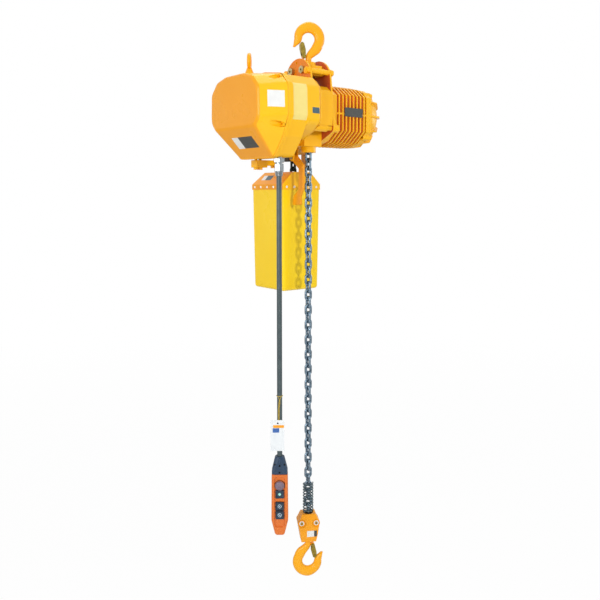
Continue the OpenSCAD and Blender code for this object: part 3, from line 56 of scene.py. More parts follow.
lens = bpy.data.cameras.new("photo_lens")
lens.lens = 42.0
lens.sensor_width = 36.0
lens.shift_y = -0.075
camera = bpy.data.objects.new("photo_camera", lens)
camera.location = (-1.1966, -1.4946, -0.4329)
camera.rotation_euler = (math.radians(90 - view_dip), 0.0, math.radians(-view_turn))
bpy.context.collection.objects.link(camera)
bpy.context.scene.camera = camera
bpy.context.scene.view_settings.view_transform = "Standard"


# The studio: a pale floor well under the load hook and a white surround.
# A small lamp square to the bucket throws the chain's soft shadow on it, wide ones fill the rest,
# and a tall strip draws a line of light on round bars and rounded edges.
def linear(code):
    """One sRGB hex code as a linear colour."""
    parts = [int(code[i:i + 2], 16) / 255 for i in (1, 3, 5)]
    return tuple(c / 12.92 if c <= 0.04045 else ((c + 0.055) / 1.055) ** 2.4 for c in parts) + (1.0,)


def add(tree, kind, inputs=None, **settings):
    """One node with its settings; an input is a value or another node's output."""
    node = tree.nodes.new(kind)
    for name, value in settings.items():
        setattr(node, name, value)
    for socket, value in (inputs or {}).items():
        if isinstance(value, bpy.types.NodeSocket):
            tree.links.new(value, node.inputs[socket])
        else:
            node.inputs[socket].default_value = value
    return node


# The surround is plain white to the eye and in gloss, and a softer fill for everything else.
world = bpy.data.worlds.new("white_surround")
world.use_nodes = True
sky = world.node_tree
sky.nodes.clear()
ray = add(sky, "ShaderNodeLightPath")
seen = add(sky, "ShaderNodeMath", {0: ray.outputs["Is Camera Ray"], 1: ray.outputs["Is Glossy Ray"]},
           operation="ADD")
shown = add(sky, "ShaderNodeMath", {0: seen.outputs[0], 1: ray.outputs["Is Transmission Ray"]},
            operation="ADD", use_clamp=True)
soft_fill = add(sky, "ShaderNodeBackground", {"Color": linear("#FFFFFF"), "Strength": 0.38})
white = add(sky, "ShaderNodeBackground", {"Color": linear("#FFFFFF"), "Strength": 1.0})
either = add(sky, "ShaderNodeMixShader", {0: shown.outputs[0], 1: soft_fill.outputs[0], 2: white.outputs[0]})
add(sky, "ShaderNodeOutputWorld", {"Surface": either.outputs[0]})
bpy.context.scene.world = world

# Matt floor paint: it keeps a faint shadow under the hoist and fades to the surround's white further out.
floor_z, floor_reach = -1.95, 9.0
fade_from, fade_to, near_share = 2.2, 6.0, 0.965
floor_paint = bpy.data.materials.new("matt_white_floor")
floor_paint.use_nodes = True
tree = floor_paint.node_tree
tree.nodes.clear()
ray = add(tree, "ShaderNodeLightPath")
place = add(tree, "ShaderNodeTexCoord")
reach = add(tree, "ShaderNodeVectorMath", {0: place.outputs["Object"]}, operation="LENGTH")
share = add(tree, "ShaderNodeMapRange", {"Value": reach.outputs["Value"], "From Min": fade_from,
                                         "From Max": fade_to, "To Min": near_share, "To Max": 1.0})
seen = add(tree, "ShaderNodeMath", {0: ray.outputs["Is Camera Ray"], 1: share.outputs[0]},
           operation="MULTIPLY")
matt = add(tree, "ShaderNodeBsdfDiffuse", {"Color": linear("#F4F4F4")})
glow = add(tree, "ShaderNodeEmission", {"Color": linear("#FFFFFF"), "Strength": 1.0})
mixed = add(tree, "ShaderNodeMixShader", {0: seen.outputs[0], 1: matt.outputs[0], 2: glow.outputs[0]})
add(tree, "ShaderNodeOutputMaterial", {"Surface": mixed.outputs[0]})


def new_piece(name, shape, finishes, body, smooth=35):
    """A finished mesh as an object at the origin, riding on its body."""
    mesh = bpy.data.meshes.new(name)
    shape.to_mesh(mesh)
    shape.free()
    for finish in finishes:
        mesh.materials.append(finish)
    mesh.shade_smooth()
    mesh.set_sharp_from_angle(angle=math.radians(smooth))
    piece = bpy.data.objects.new(name, mesh)
    bpy.context.collection.objects.link(piece)
    if body:
        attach(piece, body)
    return piece


shape = bmesh.new()
bmesh.ops.create_circle(shape, cap_ends=True, segments=64, radius=floor_reach,
                        matrix=Matrix.Translation((0, 0, floor_z)))
new_piece("studio_floor", shape, [floor_paint], None)

for name, place, target, wide, tall, watts, mirrored in (
        ("front_lamp", (-0.35, -3.3, 0.35), (0.0, 0.05, -0.55), 0.45, 0.45, 46.0, False),
        ("control_end_lamp", (-3.0, -0.6, 0.1), (-0.05, 0.0, -0.45), 1.8, 1.8, 34.0, True),
        ("top_lamp", (0.3, 0.4, 1.7), (0.0, 0.0, -0.4), 1.6, 1.6, 20.0, True),
        ("motor_end_lamp", (2.8, -0.9, 0.0), (0.0, 0.0, -0.5), 1.4, 1.4, 15.0, True),
        ("strip_lamp", (-1.75, -1.25, -0.35), (0.0, 0.0, -0.35), 0.16, 2.4, 7.0, True)):
    lamp = bpy.data.lights.new(name, "AREA")
    lamp.shape = "ELLIPSE"
    lamp.size = wide
    lamp.size_y = tall
    lamp.energy = watts
    stand = bpy.data.objects.new(name, lamp)
    stand.location = place
    stand.rotation_euler = (Vector(target) - Vector(place)).to_track_quat("-Z", "Y").to_euler()
    stand.visible_glossy = mirrored
    bpy.context.collection.objects.link(stand)


# The pendant cable: a round lead, 14 mm over its smooth PVC sheath, straight under the pendant's weight.
# It is clamped in the gland above and runs into the pendant's boot below.
def surface(name, colours, roughness, clouds, grains, metallic=0.0, stretch=(1, 1, 1)):
    """A finish whose colour drifts towards a second one in clouds, over a bump of fine grains.

    Clouds are given by width in mm and share of the second colour, grains by width and height in mm.
    Stretch draws the grains out along an axis where it is under one, and packs them closer where it is over.
    """
    finish = bpy.data.materials.new(name)
    finish.use_nodes = True
    tree = finish.node_tree
    shader = tree.nodes["Principled BSDF"]
    shader.inputs["Roughness"].default_value = roughness
    shader.inputs["Metallic"].default_value = metallic
    place = add(tree, "ShaderNodeTexCoord")
    cloud = add(tree, "ShaderNodeTexNoise", {"Vector": place.outputs["Object"], "Scale": 1000 / clouds[0],
                                             "Detail": 4.0}, name="colour_cloud")
    amount = add(tree, "ShaderNodeMapRange", {"Value": cloud.outputs[0], "From Min": 0.35, "From Max": 0.7,
                                              "To Min": 0.0, "To Max": clouds[1]})
    # A mix has a pair of sockets for each kind of data: its colours are numbers 6 and 7, and come out at 2.
    tone = add(tree, "ShaderNodeMix", {0: amount.outputs[0], 6: linear(colours[0]), 7: linear(colours[1])},
               data_type="RGBA")
    tree.links.new(tone.outputs[2], shader.inputs["Base Color"])
    turned = add(tree, "ShaderNodeMapping", {"Vector": place.outputs["Object"], "Scale": stretch})
    grain = add(tree, "ShaderNodeTexNoise", {"Vector": turned.outputs[0], "Scale": 1000 / grains[0],
                                             "Detail": 3.0})
    bump = add(tree, "ShaderNodeBump", {"Height": grain.outputs[0], "Strength": 0.6,
                                        "Distance": grains[1] / 1000})
    tree.links.new(bump.outputs[0], shader.inputs["Normal"])
    return finish


# PVC sheath: extruded, so it has faint drawn lines along its length and a soft sheen.
pvc = surface("extruded_pvc_sheath", ("#3F4C50", "#566362"), 0.3, clouds=(30, 0.6), grains=(2.0, 0.15),
              stretch=(1, 1, 0.05))

lead_at = (-0.115, -0.022)
lead_radius = 0.007
route = [lead_at + (z / 1000,) for z in (
    -346, -368, -390, -430, -470, -510, -550, -590, -630, -670, -710, -750, -790, -830, -870, -910, -950, -990,
    -1030, -1070, -1110, -1140, -1160)]
line = bpy.data.curves.new("pendant_lead", "CURVE")
line.dimensions = "3D"
line.bevel_depth = lead_radius
line.bevel_resolution = 6
line.use_fill_caps = True
run = line.splines.new("POLY")
run.points.add(len(route) - 1)
for point, at in zip(run.points, route):
    point.co = at + (1.0,)
line.materials.append(pvc)
pendant_lead = bpy.data.objects.new("pendant_lead", line)
bpy.context.collection.objects.link(pendant_lead)
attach(pendant_lead, "hoist")
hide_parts("pendant_cable")

# The tie round the lead: thin yellow covered wire, bent round the sheath and twisted on itself in front.
# Both of its tails run down to the tag.
# Covered wire: soft PVC over iron, its yellow greyed where it was handled.
yellow_wire = surface("pvc_covered_tie_wire", ("#D2B23C", "#A89A55"), 0.45, clouds=(4, 0.8), grains=(1.5, 0.1))
to_view = Matrix.Translation(lead_at + (0,)) @ Matrix.Rotation(math.radians(-view_turn), 4, "Z")
facing_out = Matrix.Rotation(math.pi / 2, 4, "X")


def hoop(shape, middle, across, wire, steps, axis=(0, 1, 0)):
    """A closed ring of round wire about a forward or upright axis, by its middle radius and the wire's own."""
    middle = Vector(middle)
    section = Matrix.Translation(middle + Vector((across, 0, 0))) @ (facing_out if axis[2] else Matrix())
    ring = bmesh.ops.create_circle(shape, segments=10, radius=wire, matrix=section)
    edges = list({e for v in ring["verts"] for e in v.link_edges})
    bmesh.ops.spin(shape, geom=edges, cent=middle, axis=axis, angle=2 * math.pi, steps=steps, use_merge=True)


def bridged(shape, last, ring):
    """Joins a ring of a tube to the ring before it, if there is one, and hands it on as the last."""
    if last:
        loops = {e for v in last + ring for e in v.link_edges if e.is_boundary or e.is_wire}
        bmesh.ops.bridge_loops(shape, edges=list(loops))
    return ring


tie_z, twist_z, tail_gap = -0.9655, -976, 1.2
tail = ((4.6, -6.9, -966), (2.2, -8.4, -970), (0.4, -8.9, -974), (-1.5, -8.5, -982), (-3.4, -8.0, -1000),
        (-3.6, -7.9, -1030))
shape = bmesh.new()
hoop(shape, (0, 0, tie_z), 0.0079, 0.0009, 40, (0, 0, 1))
for side in (-1, 1):
    last = None
    for x, y, z in tail:
        at = Vector((side * x if z > twist_z else x + tail_gap * (side + 1), y, z)) / 1000
        ring = bmesh.ops.create_circle(shape, segments=8, radius=0.0008, matrix=Matrix.Translation(at))
        last = bridged(shape, last, ring["verts"])
bmesh.ops.holes_fill(shape, edges=shape.edges, sides=0)
bmesh.ops.recalc_face_normals(shape, faces=shape.faces)
bmesh.ops.transform(shape, matrix=to_view, verts=shape.verts)
lead_tie = new_piece("lead_tie", shape, [yellow_wire], "hoist", 60)

# The tag: a stiff white card, clipped round the lead by its own collar, with a punched eyelet at the top.
# It carries two plain strips of coloured film, one orange and one blue.
# Coated card: a clean white with the least of a cool cloud, half matt.
card = surface("coated_white_card", ("#E6EAEC", "#D8DDE1"), 0.55, clouds=(12, 0.5), grains=(2.5, 0.08))
# Film: an even colour, smooth, with a low sheen.
orange_film = surface("orange_tag_film", ("#F5A623", "#EE9414"), 0.4, clouds=(8, 0.6), grains=(2.0, 0.02))
blue_film = surface("blue_tag_film", ("#3F69AD", "#34599A"), 0.4, clouds=(8, 0.6), grains=(2.0, 0.02))
# Blacked brass: a dark ring that still catches the light.
dark_eyelet = surface("blacked_brass_eyelet", ("#2A3034", "#3C444A"), 0.4, clouds=(2, 0.6), grains=(1.0, 0.03),
                      metallic=0.7)
from_mm, to_mm = Matrix.Scale(0.001, 4), Matrix.Scale(1000, 4)


def dress(finish, *nodes):
    """Gives CAD nodes whose shape is right their finish."""
    for name in nodes:
        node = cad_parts[name]
        node.data.materials.clear()
        node.data.materials.append(finish)


def cad_copy(node):
    """A copy of a CAD node's mesh, with its loose triangles merged."""
    shape = bmesh.new()
    shape.from_mesh(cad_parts[node].data)
    bmesh.ops.remove_doubles(shape, verts=shape.verts, dist=2e-6)
    return shape


def laid_on(name, node, low, high, facing, finishes, body="hoist", axes=Matrix(), edge=None):
    """A thin plate cut from the node's own surface between two corners in mm, along the given axes.

    An edge is an axis and the place along it past which the plate has its second finish.
    """
    proud, sheet = 0.15, 0.3
    shape = cad_copy(node)
    bmesh.ops.transform(shape, matrix=to_mm @ axes.inverted(), verts=shape.verts)
    cuts = [(i, c, s) for i in range(3) for c, s in ((low[i], -1), (high[i], 1))]
    for i, c, s in cuts + ([(edge[0], edge[1], 0)] if edge else []):
        at, way = Vector((0, 0, 0)), Vector((0, 0, 0))
        at[i], way[i] = c, s or 1
        bmesh.ops.bisect_plane(shape, geom=shape.verts[:] + shape.edges[:] + shape.faces[:], plane_co=at,
                               plane_no=way, clear_outer=s != 0)
    for face in shape.faces:
        if edge:
            face.material_index = int(face.calc_center_median()[edge[0]] > edge[1])
    away = [f for f in shape.faces if f.normal.dot(Vector(facing)) < 0.5]
    bmesh.ops.delete(shape, geom=away, context="FACES")
    bmesh.ops.translate(shape, verts=shape.verts, vec=Vector(facing) * proud)
    bmesh.ops.dissolve_limit(shape, angle_limit=math.radians(0.5), verts=shape.verts, edges=shape.edges,
                             delimit={"MATERIAL"})
    bmesh.ops.solidify(shape, geom=shape.faces[:], thickness=sheet)
    bmesh.ops.recalc_face_normals(shape, faces=shape.faces)
    bmesh.ops.transform(shape, matrix=axes @ from_mm, verts=shape.verts)
    piece = new_piece(name, shape, finishes, body, 30)
    return piece


dress(card, "cable_tag")
orange_strip = laid_on("tag_orange_strip", "cable_tag", (-17.5, -9, -1051), (11.5, 0, -1043.5), (0, -1, 0),
                       [orange_film], axes=to_view)
blue_strip = laid_on("tag_blue_strip", "cable_tag", (-18.5, -9, -1064), (-1, 0, -1052), (0, -1, 0),
                     [blue_film], axes=to_view)
eyelet_radius = 1.7
eyelet_at = Matrix.Translation((-0.005, -0.0083, -1.0385))
shape = bmesh.new()
hoop(shape, (0, 0, 0), eyelet_radius, 0.5, 32)
bmesh.ops.create_circle(shape, cap_ends=True, segments=32, radius=eyelet_radius, matrix=facing_out)
bmesh.ops.recalc_face_normals(shape, faces=shape.faces)
bmesh.ops.transform(shape, matrix=to_view @ eyelet_at @ from_mm, verts=shape.verts)
tag_eyelet = new_piece("tag_eyelet", shape, [dark_eyelet], "hoist", 60)


# The side plates: two 6 mm steel plates, orange outside, tied by stay rods and nuts.
# Their inner faces carry a red-brown painted shade, and their edges the lighter yellow as painted light.
# The yoke block that carries the top hook hangs between them on two plated shafts, over a pressed sheave cover.
def enamel(name, colour, other, gloss=0.3):
    """Stoved enamel on metal: even colour, faint clouds 90 mm across, and orange peel drawn 7 mm wide to show."""
    finish = surface(name, (colour, other), gloss, clouds=(90, 0.4), grains=(7.0, 0.012))
    tree = finish.node_tree
    shader = tree.nodes["Principled BSDF"]
    shader.inputs["Specular IOR Level"].default_value = 0.28
    shader.inputs["Coat Weight"].default_value = 0.12
    shader.inputs["Coat Roughness"].default_value = 0.1
    cloud = tree.nodes["colour_cloud"]
    worn = add(tree, "ShaderNodeMapRange", {"Value": cloud.outputs[0], "From Min": 0.3, "From Max": 0.7,
                                            "To Min": gloss - 0.05, "To Max": gloss + 0.08})
    tree.links.new(worn.outputs[0], shader.inputs["Roughness"])
    return finish


# Enamel: strong, even orange and yellow under a thin gloss. The red-brown painted shade for the plates' inner
# faces is darker and duller.
frame_coat = enamel("stoved_orange_frame_enamel", "#E88814", "#E27E14")
inner_face_shade_coat = enamel("red_brown_painted_shade_plate_enamel", "#CC5E28", "#C05428", 0.42)
yellow_coat = enamel("stoved_yellow_enamel", "#FABB14", "#F8B114")


def softened(name, node, finishes, body, width, rounds=(), angle=28):
    """A casting or pressing with its CAD form: chosen edges rounded over, then the other sharp edges broken.

    A round is a test of a corner in mm, a radius in mm and a number of steps.
    """
    shape = cad_copy(node)
    bmesh.ops.dissolve_degenerate(shape, dist=2e-5, edges=shape.edges)
    bmesh.ops.dissolve_limit(shape, angle_limit=math.radians(0.6), verts=shape.verts, edges=shape.edges)
    for chosen, radius, steps in [*rounds, (lambda co: True, width, 2)]:
        sharp = [e for e in shape.edges if e.is_manifold and e.calc_face_angle(0.0) > math.radians(angle)
                 and chosen(e.verts[0].co * 1000) and chosen(e.verts[1].co * 1000)]
        bmesh.ops.bevel(shape, geom=sharp, offset=radius / 1000, offset_type="OFFSET", affect="EDGES",
                        segments=steps, profile=0.5, material=-1, clamp_overlap=False, loop_slide=True)
    piece = new_piece(name, shape, finishes, body)
    piece.modifiers.new("even_shading", "WEIGHTED_NORMAL").keep_sharp = True
    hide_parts(node)
    return piece


for side, out in (("left", -1), ("right", 1)):
    side_plate = softened(side + "_side_plate", "side_plate_" + side, [frame_coat, inner_face_shade_coat, yellow_coat],
                          "hoist", 0.6)
    # Faces by direction: edges take the lighter yellow as painted light, inner faces the red-brown painted shade.
    for face in side_plate.data.polygons:
        face.material_index = 2 if abs(face.normal.x) < 0.8 else 0 if face.normal.x * out > 0 else 1
softened("hook_yoke", "yoke_block", [yellow_coat], "hoist", 0.8)
softened("sheave_space_cover", "sheave_cover", [yellow_coat], "hoist", 0.8)
dress(yellow_coat, "stay_rods", "frame_nuts", "housing_screws")

# The yoke shafts and hanger pins: turned steel, zinc plated and passivated.
# The plate is a bright skin, slightly mottled and yellowish.
zinc = surface("passivated_zinc_plate", ("#C9B98C", "#9C8A54"), 0.34, clouds=(6, 0.8), grains=(1.6, 0.05),
               metallic=1.0)
dress(zinc, "yoke_shafts", "hanger_pins")

# The hidden workings: gears, shafts, bearings, brake, windings and switchgear inside the castings.
# Each keeps its CAD shape and takes the finish of what it is made of.
# Turned and ground steel: a clear grey metal with fine turning marks round the shafts.
machined = surface("turned_and_ground_steel", ("#A9ABAA", "#8D8F8F"), 0.3, clouds=(10, 0.7), grains=(0.8, 0.03),
                   metallic=1.0, stretch=(6, 1, 1))
dress(machined, "top_hook_bearing", "top_hook_nut", "motor_rotor", "shaft_bearings", "output_wheel", "lay_shaft",
      "chain_pin", "load_hook_bearing", "load_hook_nut", "brake_disc")
# Phosphated cast iron: dark, dry and a little rough.
cast_iron = surface("phosphated_cast_iron", ("#4A4D4E", "#343738"), 0.55, clouds=(8, 0.8), grains=(1.2, 0.12),
                    metallic=0.6)
dress(cast_iron, "load_sheave", "brake_magnet")
# Lacquered copper: dark red-brown wire, its turns drawn out along the motor.
lacquer = surface("lacquered_copper_winding", ("#7A3B1E", "#4C2817"), 0.4, clouds=(3, 0.8), grains=(1.0, 0.2),
                  stretch=(0.2, 1, 1))
dress(lacquer, "stator", "transformer")
# Moulded phenolic: near black and half matt.
moulding = surface("dark_moulded_phenolic", ("#2B2E30", "#3A3D3F"), 0.5, clouds=(14, 0.6), grains=(1.5, 0.05))
dress(moulding, "contactors", "limit_switch")
# Galvanised sheet: pale grey with a soft spangle 18 mm across.
panel_zinc = surface("galvanised_mounting_plate", ("#B9BCBC", "#9DA1A2"), 0.4, clouds=(18, 0.9),
                     grains=(3.0, 0.05), metallic=0.9)
dress(panel_zinc, "control_panel")

# The hooks: drop-forged steel with an oval section, swept from the neck round the bowl to a blunt, thinned nose.
# Each carries a lug for its latch and a turned shank that ends in a nut on a thrust bearing.
# A station is the inner and outer edge of the section in mm, and its thickness across.
# Golden enamel: a warm yellow between the frame's orange and the castings' yellow.
hook_coat = enamel("stoved_golden_hook_enamel", "#F9AE16", "#F6A414")
neck = [((-8, -79), (8, -79), 16), ((-8, -73), (8, -73), 16), ((-8, -66), (9.5, -68), 16),
        ((-6, -58), (19, -61), 17), ((-0.5, -49), (30, -53), 18), ((7, -39), (37.5, -41), 19)]
nose = [((-20, -25), (-40, -25), 16), ((-25, -31), (-41, -32), 14), ((-31, -35.2), (-42.3, -38), 12),
        ((-33.2, -37.2), (-42.4, -39.0), 10.5), ((-35.0, -38.8), (-41.9, -40.1), 7.5),
        ((-37.0, -39.8), (-40.2, -40.6), 3.5)]
bowl_depth = ((-30, 26.7), (0, 27.6), (90, 29.6), (180, 21.0))


def bowl(angle):
    """Inner and outer edge of the bowl's section at an angle, and its thickness."""
    for (a, da), (b, db) in zip(bowl_depth, bowl_depth[1:]):
        if a <= angle <= b:
            depth = da + (db - da) * (angle - a) / (b - a)
    way = Vector((math.cos(math.radians(angle)), math.sin(math.radians(angle))))
    middle = Vector((0, 17.8))
    inner = 16.3 if angle < 120 else 17.8 - 0.025 * (180 - angle)
    return tuple(inner * way - middle), tuple((inner + depth) * way - middle), 20 if angle < 120 else 18


stations = neck + [bowl(a) for a in range(-30, 181, 15)] + nose


def between(before, a, b, after, t):
    """A smooth step from a to b that leaves and arrives along its neighbours."""
    return 0.5 * (2 * a + (b - before) * t + (2 * before - 5 * a + 4 * b - after) * t * t
                  + (3 * a - before - 3 * b + after) * t ** 3)


def forged_hook(name, node, body, place, shank):
    """The forging of one hook, in the place that its body gives it, with a shank of the given length."""
    fine = 4
    shank_radius, shank_top = 8, -78.5
    lug_radius, lug_length = 5.5, 10
    lug_at = Matrix.Translation((-13, 0, -64))
    rows = [Vector((*inner, *outer, thick)) for inner, outer, thick in stations]
    rows = [2 * rows[0] - rows[1]] + rows + [2 * rows[-1] - rows[-2]]
    shape = bmesh.new()
    last = None
    for i in range(1, len(rows) - 2):
        for step in range(fine + (i == len(rows) - 3)):
            row = [between(*(r[k] for r in rows[i - 1:i + 3]), step / fine) for k in range(5)]
            inner, outer = Vector((row[0], 0, row[1])), Vector((row[2], 0, row[3]))
            half = (outer - inner) / 2
            section = Matrix.Translation((inner + outer) / 2) @ Matrix((
                (half.x, 0, 0, 0), (0, row[4] / 2, 0, 0), (half.z, 0, 1, 0), (0, 0, 0, 1)))
            ring = bmesh.ops.create_circle(shape, segments=28, radius=1.0, matrix=section)
            last = bridged(shape, last, ring["verts"])
    bmesh.ops.holes_fill(shape, edges=shape.edges, sides=0)
    bmesh.ops.create_cone(shape, cap_ends=True, segments=32, radius1=shank_radius, radius2=shank_radius,
                          depth=shank, matrix=Matrix.Translation((0, 0, shank_top - shank / 2)))
    bmesh.ops.create_cone(shape, cap_ends=True, segments=32, radius1=lug_radius, radius2=lug_radius,
                          depth=lug_length, matrix=lug_at @ facing_out)
    bmesh.ops.recalc_face_normals(shape, faces=shape.faces)
    bmesh.ops.transform(shape, matrix=place @ from_mm, verts=shape.verts)
    piece = new_piece(name, shape, [hook_coat], body, 40)
    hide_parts(node)


forged_hook("suspension_hook_forging", "top_hook", "top_hook", Matrix.Rotation(math.radians(-26), 4, "Z"), 66.3)
to_block = Matrix.Rotation(math.radians(-30), 4, "Z")
load_place = Matrix.Translation((0, 0, -1.48769)) @ to_block @ Matrix.Rotation(math.pi, 4, "Y")
forged_hook("load_hook_forging", "load_hook", "load_hook", load_place, 47)

# The latches: folded from thin steel sheet, each on a riveted pin through its hook's lug.
# Yellow passivation gives them and their pins a brown-gold, blotched metal skin.
latch_sheet = surface("yellow_passivated_sheet", ("#A8913E", "#7D6B2C"), 0.36, clouds=(7, 0.9),
                      grains=(1.6, 0.05), metallic=0.85)
softened("upper_latch_pressing", "top_latch", [latch_sheet], "top_latch", 0.25)
softened("lower_latch_pressing", "load_latch", [latch_sheet], "load_latch", 0.25)
dress(latch_sheet, "top_latch_pin", "load_latch_pin")

# The motor: an aluminium barrel cast with eight fins and a rib along each side, an end shield and a ribbed dome.
# The fin rims are yellow; the troughs between them and the deeper part of each fin's sides take a red-brown
# painted shade.
# Painted shade in the troughs: a dull red-orange that sets off the yellow rims.
trough_shade_coat = enamel("red_orange_painted_shade_trough_enamel", "#EB8440", "#DF7436", 0.5)
motor_casting = softened("motor_casting", "motor_housing", [yellow_coat, trough_shade_coat], "hoist", 0.5)
barrel_x, first_fin_x, last_fin_x, fin_start = 0.061, 0.0635, 0.1685, 0.064
fin_pitch, fin_rim, shade_depth = 0.013, 0.0045, 0.0034
motor_z, half_rib, squarely = -0.213, 0.0035, 0.95
outline = [(20, 82), (58, 72), (86, 50), (86, -46), (50, -76), (15, -86)]
outline += [(-y, z) for y, z in reversed(outline)]
middle = (Vector(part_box("stator")[0]) + Vector(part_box("stator")[1])) / 2
flats = []
for (y, z), (next_y, next_z) in zip(outline, outline[1:] + outline[:1]):
    out = Vector((0, z - next_z, next_y - y)).normalized()
    flats.append((middle + Vector((0, y, z)) / 1000 - out * shade_depth, out))
shape = bmesh.new()
shape.from_mesh(motor_casting.data)
# Each fin side is cut at a set depth under the outline: outside it stays yellow, deeper in it takes the painted
# shade.
for at, out in flats:
    sides = [f for f in shape.faces if first_fin_x < f.calc_center_median().x < last_fin_x
             and abs(f.normal.x) > squarely]
    around = {e for f in sides for e in f.edges} | {v for f in sides for v in f.verts}
    bmesh.ops.bisect_plane(shape, geom=sides + list(around), plane_co=at, plane_no=out)
for face in shape.faces:
    centre = face.calc_center_median()
    on_rib = all(abs(v.co.z - motor_z) < half_rib for v in face.verts)
    if barrel_x < centre.x < last_fin_x and not on_rib:
        if abs(face.normal.x) > squarely:
            unshaded = any((centre - at).dot(out) > 0 for at, out in flats)
        else:
            unshaded = (centre.x - fin_start) % fin_pitch < fin_rim
        face.material_index = 0 if unshaded else 1
shape.to_mesh(motor_casting.data)
shape.free()
softened("end_shield_casting", "end_shield", [yellow_coat], "hoist", 0.7)
softened("ribbed_end_cover", "motor_end_cover", [yellow_coat], "hoist", 0.7)

# The gear housing and the control cover: thin-walled aluminium castings that meet on a flanged seam.
# Both are enamelled after machining, and four cap screws in open pockets pull the cover on to its seat.
# Casting enamel: a clear yellow, and a more orange copy on the cover's end face, as painted shade where that face
# turns from the light.
gear_coat = enamel("stoved_yellow_casting_enamel", "#FABF18", "#F9B516")
end_face_shade_coat = enamel("orange_painted_shade_end_enamel", "#F6A414", "#F49E14")
plate_end_x, shoulder_x, cover_end_x = -44, -84, -217.6
softened("gear_housing_casting", "gear_housing", [gear_coat], "hoist", 0.8,
         [(lambda co: abs(co.x - plate_end_x) < 0.1, 4.4, 5), (lambda co: abs(co.x - shoulder_x) < 0.1, 2.5, 4)])
cover_casting = softened("control_cover_casting", "control_cover", [gear_coat, end_face_shade_coat], "hoist", 0.8,
                         [(lambda co: co.x < cover_end_x, 7.0, 6)])
# Faces turned towards the end take the more orange copy, a painted shade.
for face in cover_casting.data.polygons:
    if face.normal.x < -0.6:
        face.material_index = 1
dress(hook_coat, "eye_bolt")

# Bare plates: a riveted black one on the motor's fins, and blank vinyl and foil laid on the housings and the hood.
# Each follows the surface under it and stands a fraction of a millimetre proud.
# Anodised foil: a soft black with brushing drawn across the plate.
black_foil = surface("black_anodised_foil", ("#3B3D3A", "#4A4B46"), 0.42, clouds=(6, 0.6), grains=(1.2, 0.02),
                     stretch=(1, 1, 6))
# Calendered vinyl: a flat, even skin with a low sheen.
white_vinyl = surface("white_calendered_vinyl", ("#E9EAE8", "#DCDDDC"), 0.38, clouds=(14, 0.5),
                      grains=(3.0, 0.02))
cream_vinyl = surface("cream_calendered_vinyl", ("#F2DE86", "#EED678"), 0.38, clouds=(20, 0.5),
                      grains=(3.0, 0.02))
# Slate foil: a blue-grey, slightly clouded.
slate_foil = surface("slate_grey_foil", ("#3E5A66", "#4B6570"), 0.4, clouds=(6, 0.6), grains=(1.2, 0.02))

laid_on("cover_front_plate", "control_cover", (-196, -140, -218), (-156, 0, -178), (-0.38, -0.92, 0),
        [white_vinyl])
laid_on("gear_front_plate", "gear_housing", (-131, -140, -246), (-87, 0, -156), (0, -1, 0), [cream_vinyl])
laid_on("gear_side_plate", "gear_housing", (-71, -140, -227), (-48, 0, -212), (0, -1, 0), [slate_foil])
laid_on("cover_slope_plate", "control_cover", (-240, -16, -312), (-100, 76, -285), (-0.73, 0, -0.68),
        [black_foil, white_vinyl], edge=(1, 47))
laid_on("hood_slope_plate", "bucket_hood", (-80, 122, -391), (0, 168, -378), (-0.7, 0, 0.7),
        [slate_foil, white_vinyl], edge=(1, 150))

plate_at = Vector((0.117, -0.0526, -0.2080))
plate_size = (0.066, 0.0011, 0.024, 1)
rivet_off, rivet_radius, rivet_y = 0.0305, 0.0017, -0.0530
shape = bmesh.new()
bmesh.ops.create_cube(shape, size=1.0, matrix=Matrix.Translation(plate_at) @ Matrix.Diagonal(plate_size))
corners = [e for e in shape.edges if abs(e.verts[0].co.y - e.verts[1].co.y) > 0.0005]
bmesh.ops.bevel(shape, geom=corners, offset=0.002, affect="EDGES", segments=4, profile=0.5, material=-1)
for x in (plate_at.x - rivet_off, plate_at.x + rivet_off):
    bmesh.ops.create_uvsphere(shape, u_segments=16, v_segments=8, radius=rivet_radius, matrix=Matrix.Translation(
        (x, rivet_y, plate_at.z)) @ Matrix.Diagonal((1, 0.5, 1, 1)))
new_piece("motor_plate", shape, [black_foil], "hoist")

# The load chain: short-link hardened steel, blued and oiled, running over the pocketed sheave.
# The hanging run shortens as the hook rises; the slack side hangs still behind it, down into the bucket.
# Blued steel: a cool grey-blue metal that is bright where links rub. The slack side is near black.
chain_steel = surface("blued_hardened_chain_steel", ("#8FA4B4", "#4F606C"), 0.26, clouds=(7, 0.8),
                      grains=(1.2, 0.06), metallic=0.9)
black_chain = surface("near_black_slack_chain_steel", ("#2C3530", "#1B211E"), 0.36, clouds=(9, 0.8),
                      grains=(1.2, 0.06), metallic=0.8)
dress(black_chain, "slack_chain")
block_degrees, slight_share = 30, 0.27
twists = ((4, 12), (4, 6), (41, 11))


def hung_links(name, node, body, first):
    """The links of one node, counted from the sheave, with the block's turn taken up just above the block.

    Twists are the CAD's own, a slight one and the full one: the link each starts after and how many share it.
    """
    shape = cad_copy(node)
    loose, links = set(shape.verts), []
    while loose:
        link, rim = set(), {next(iter(loose))}
        while rim:
            link |= rim
            rim = {e.other_vert(v) for v in rim for e in v.link_edges} - link
        loose -= link
        links.append(list(link))
    links.sort(key=lambda link: -sum(v.co.z for v in link) / len(link))
    for i, link in enumerate(links, first):
        drawn, slight, full = (max(0, min(1, (i - above) / over)) for above, over in twists)
        turn = math.radians(block_degrees * (drawn - max(slight_share * slight, full)))
        bmesh.ops.rotate(shape, verts=link, cent=(0, 0, 0), matrix=Matrix.Rotation(turn, 3, "Z"))
    piece = new_piece(name, shape, [chain_steel], body, 50)
    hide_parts(node)
    return piece


# The run is 924 mm long from the sheave's axis, and the hook rises by 840 mm.
hanging_chain = hung_links("hanging_chain", "load_chain_fall", "hoist", 0)
hung_links("block_chain", "load_chain_end", "hook_block", 44)
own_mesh(hanging_chain)
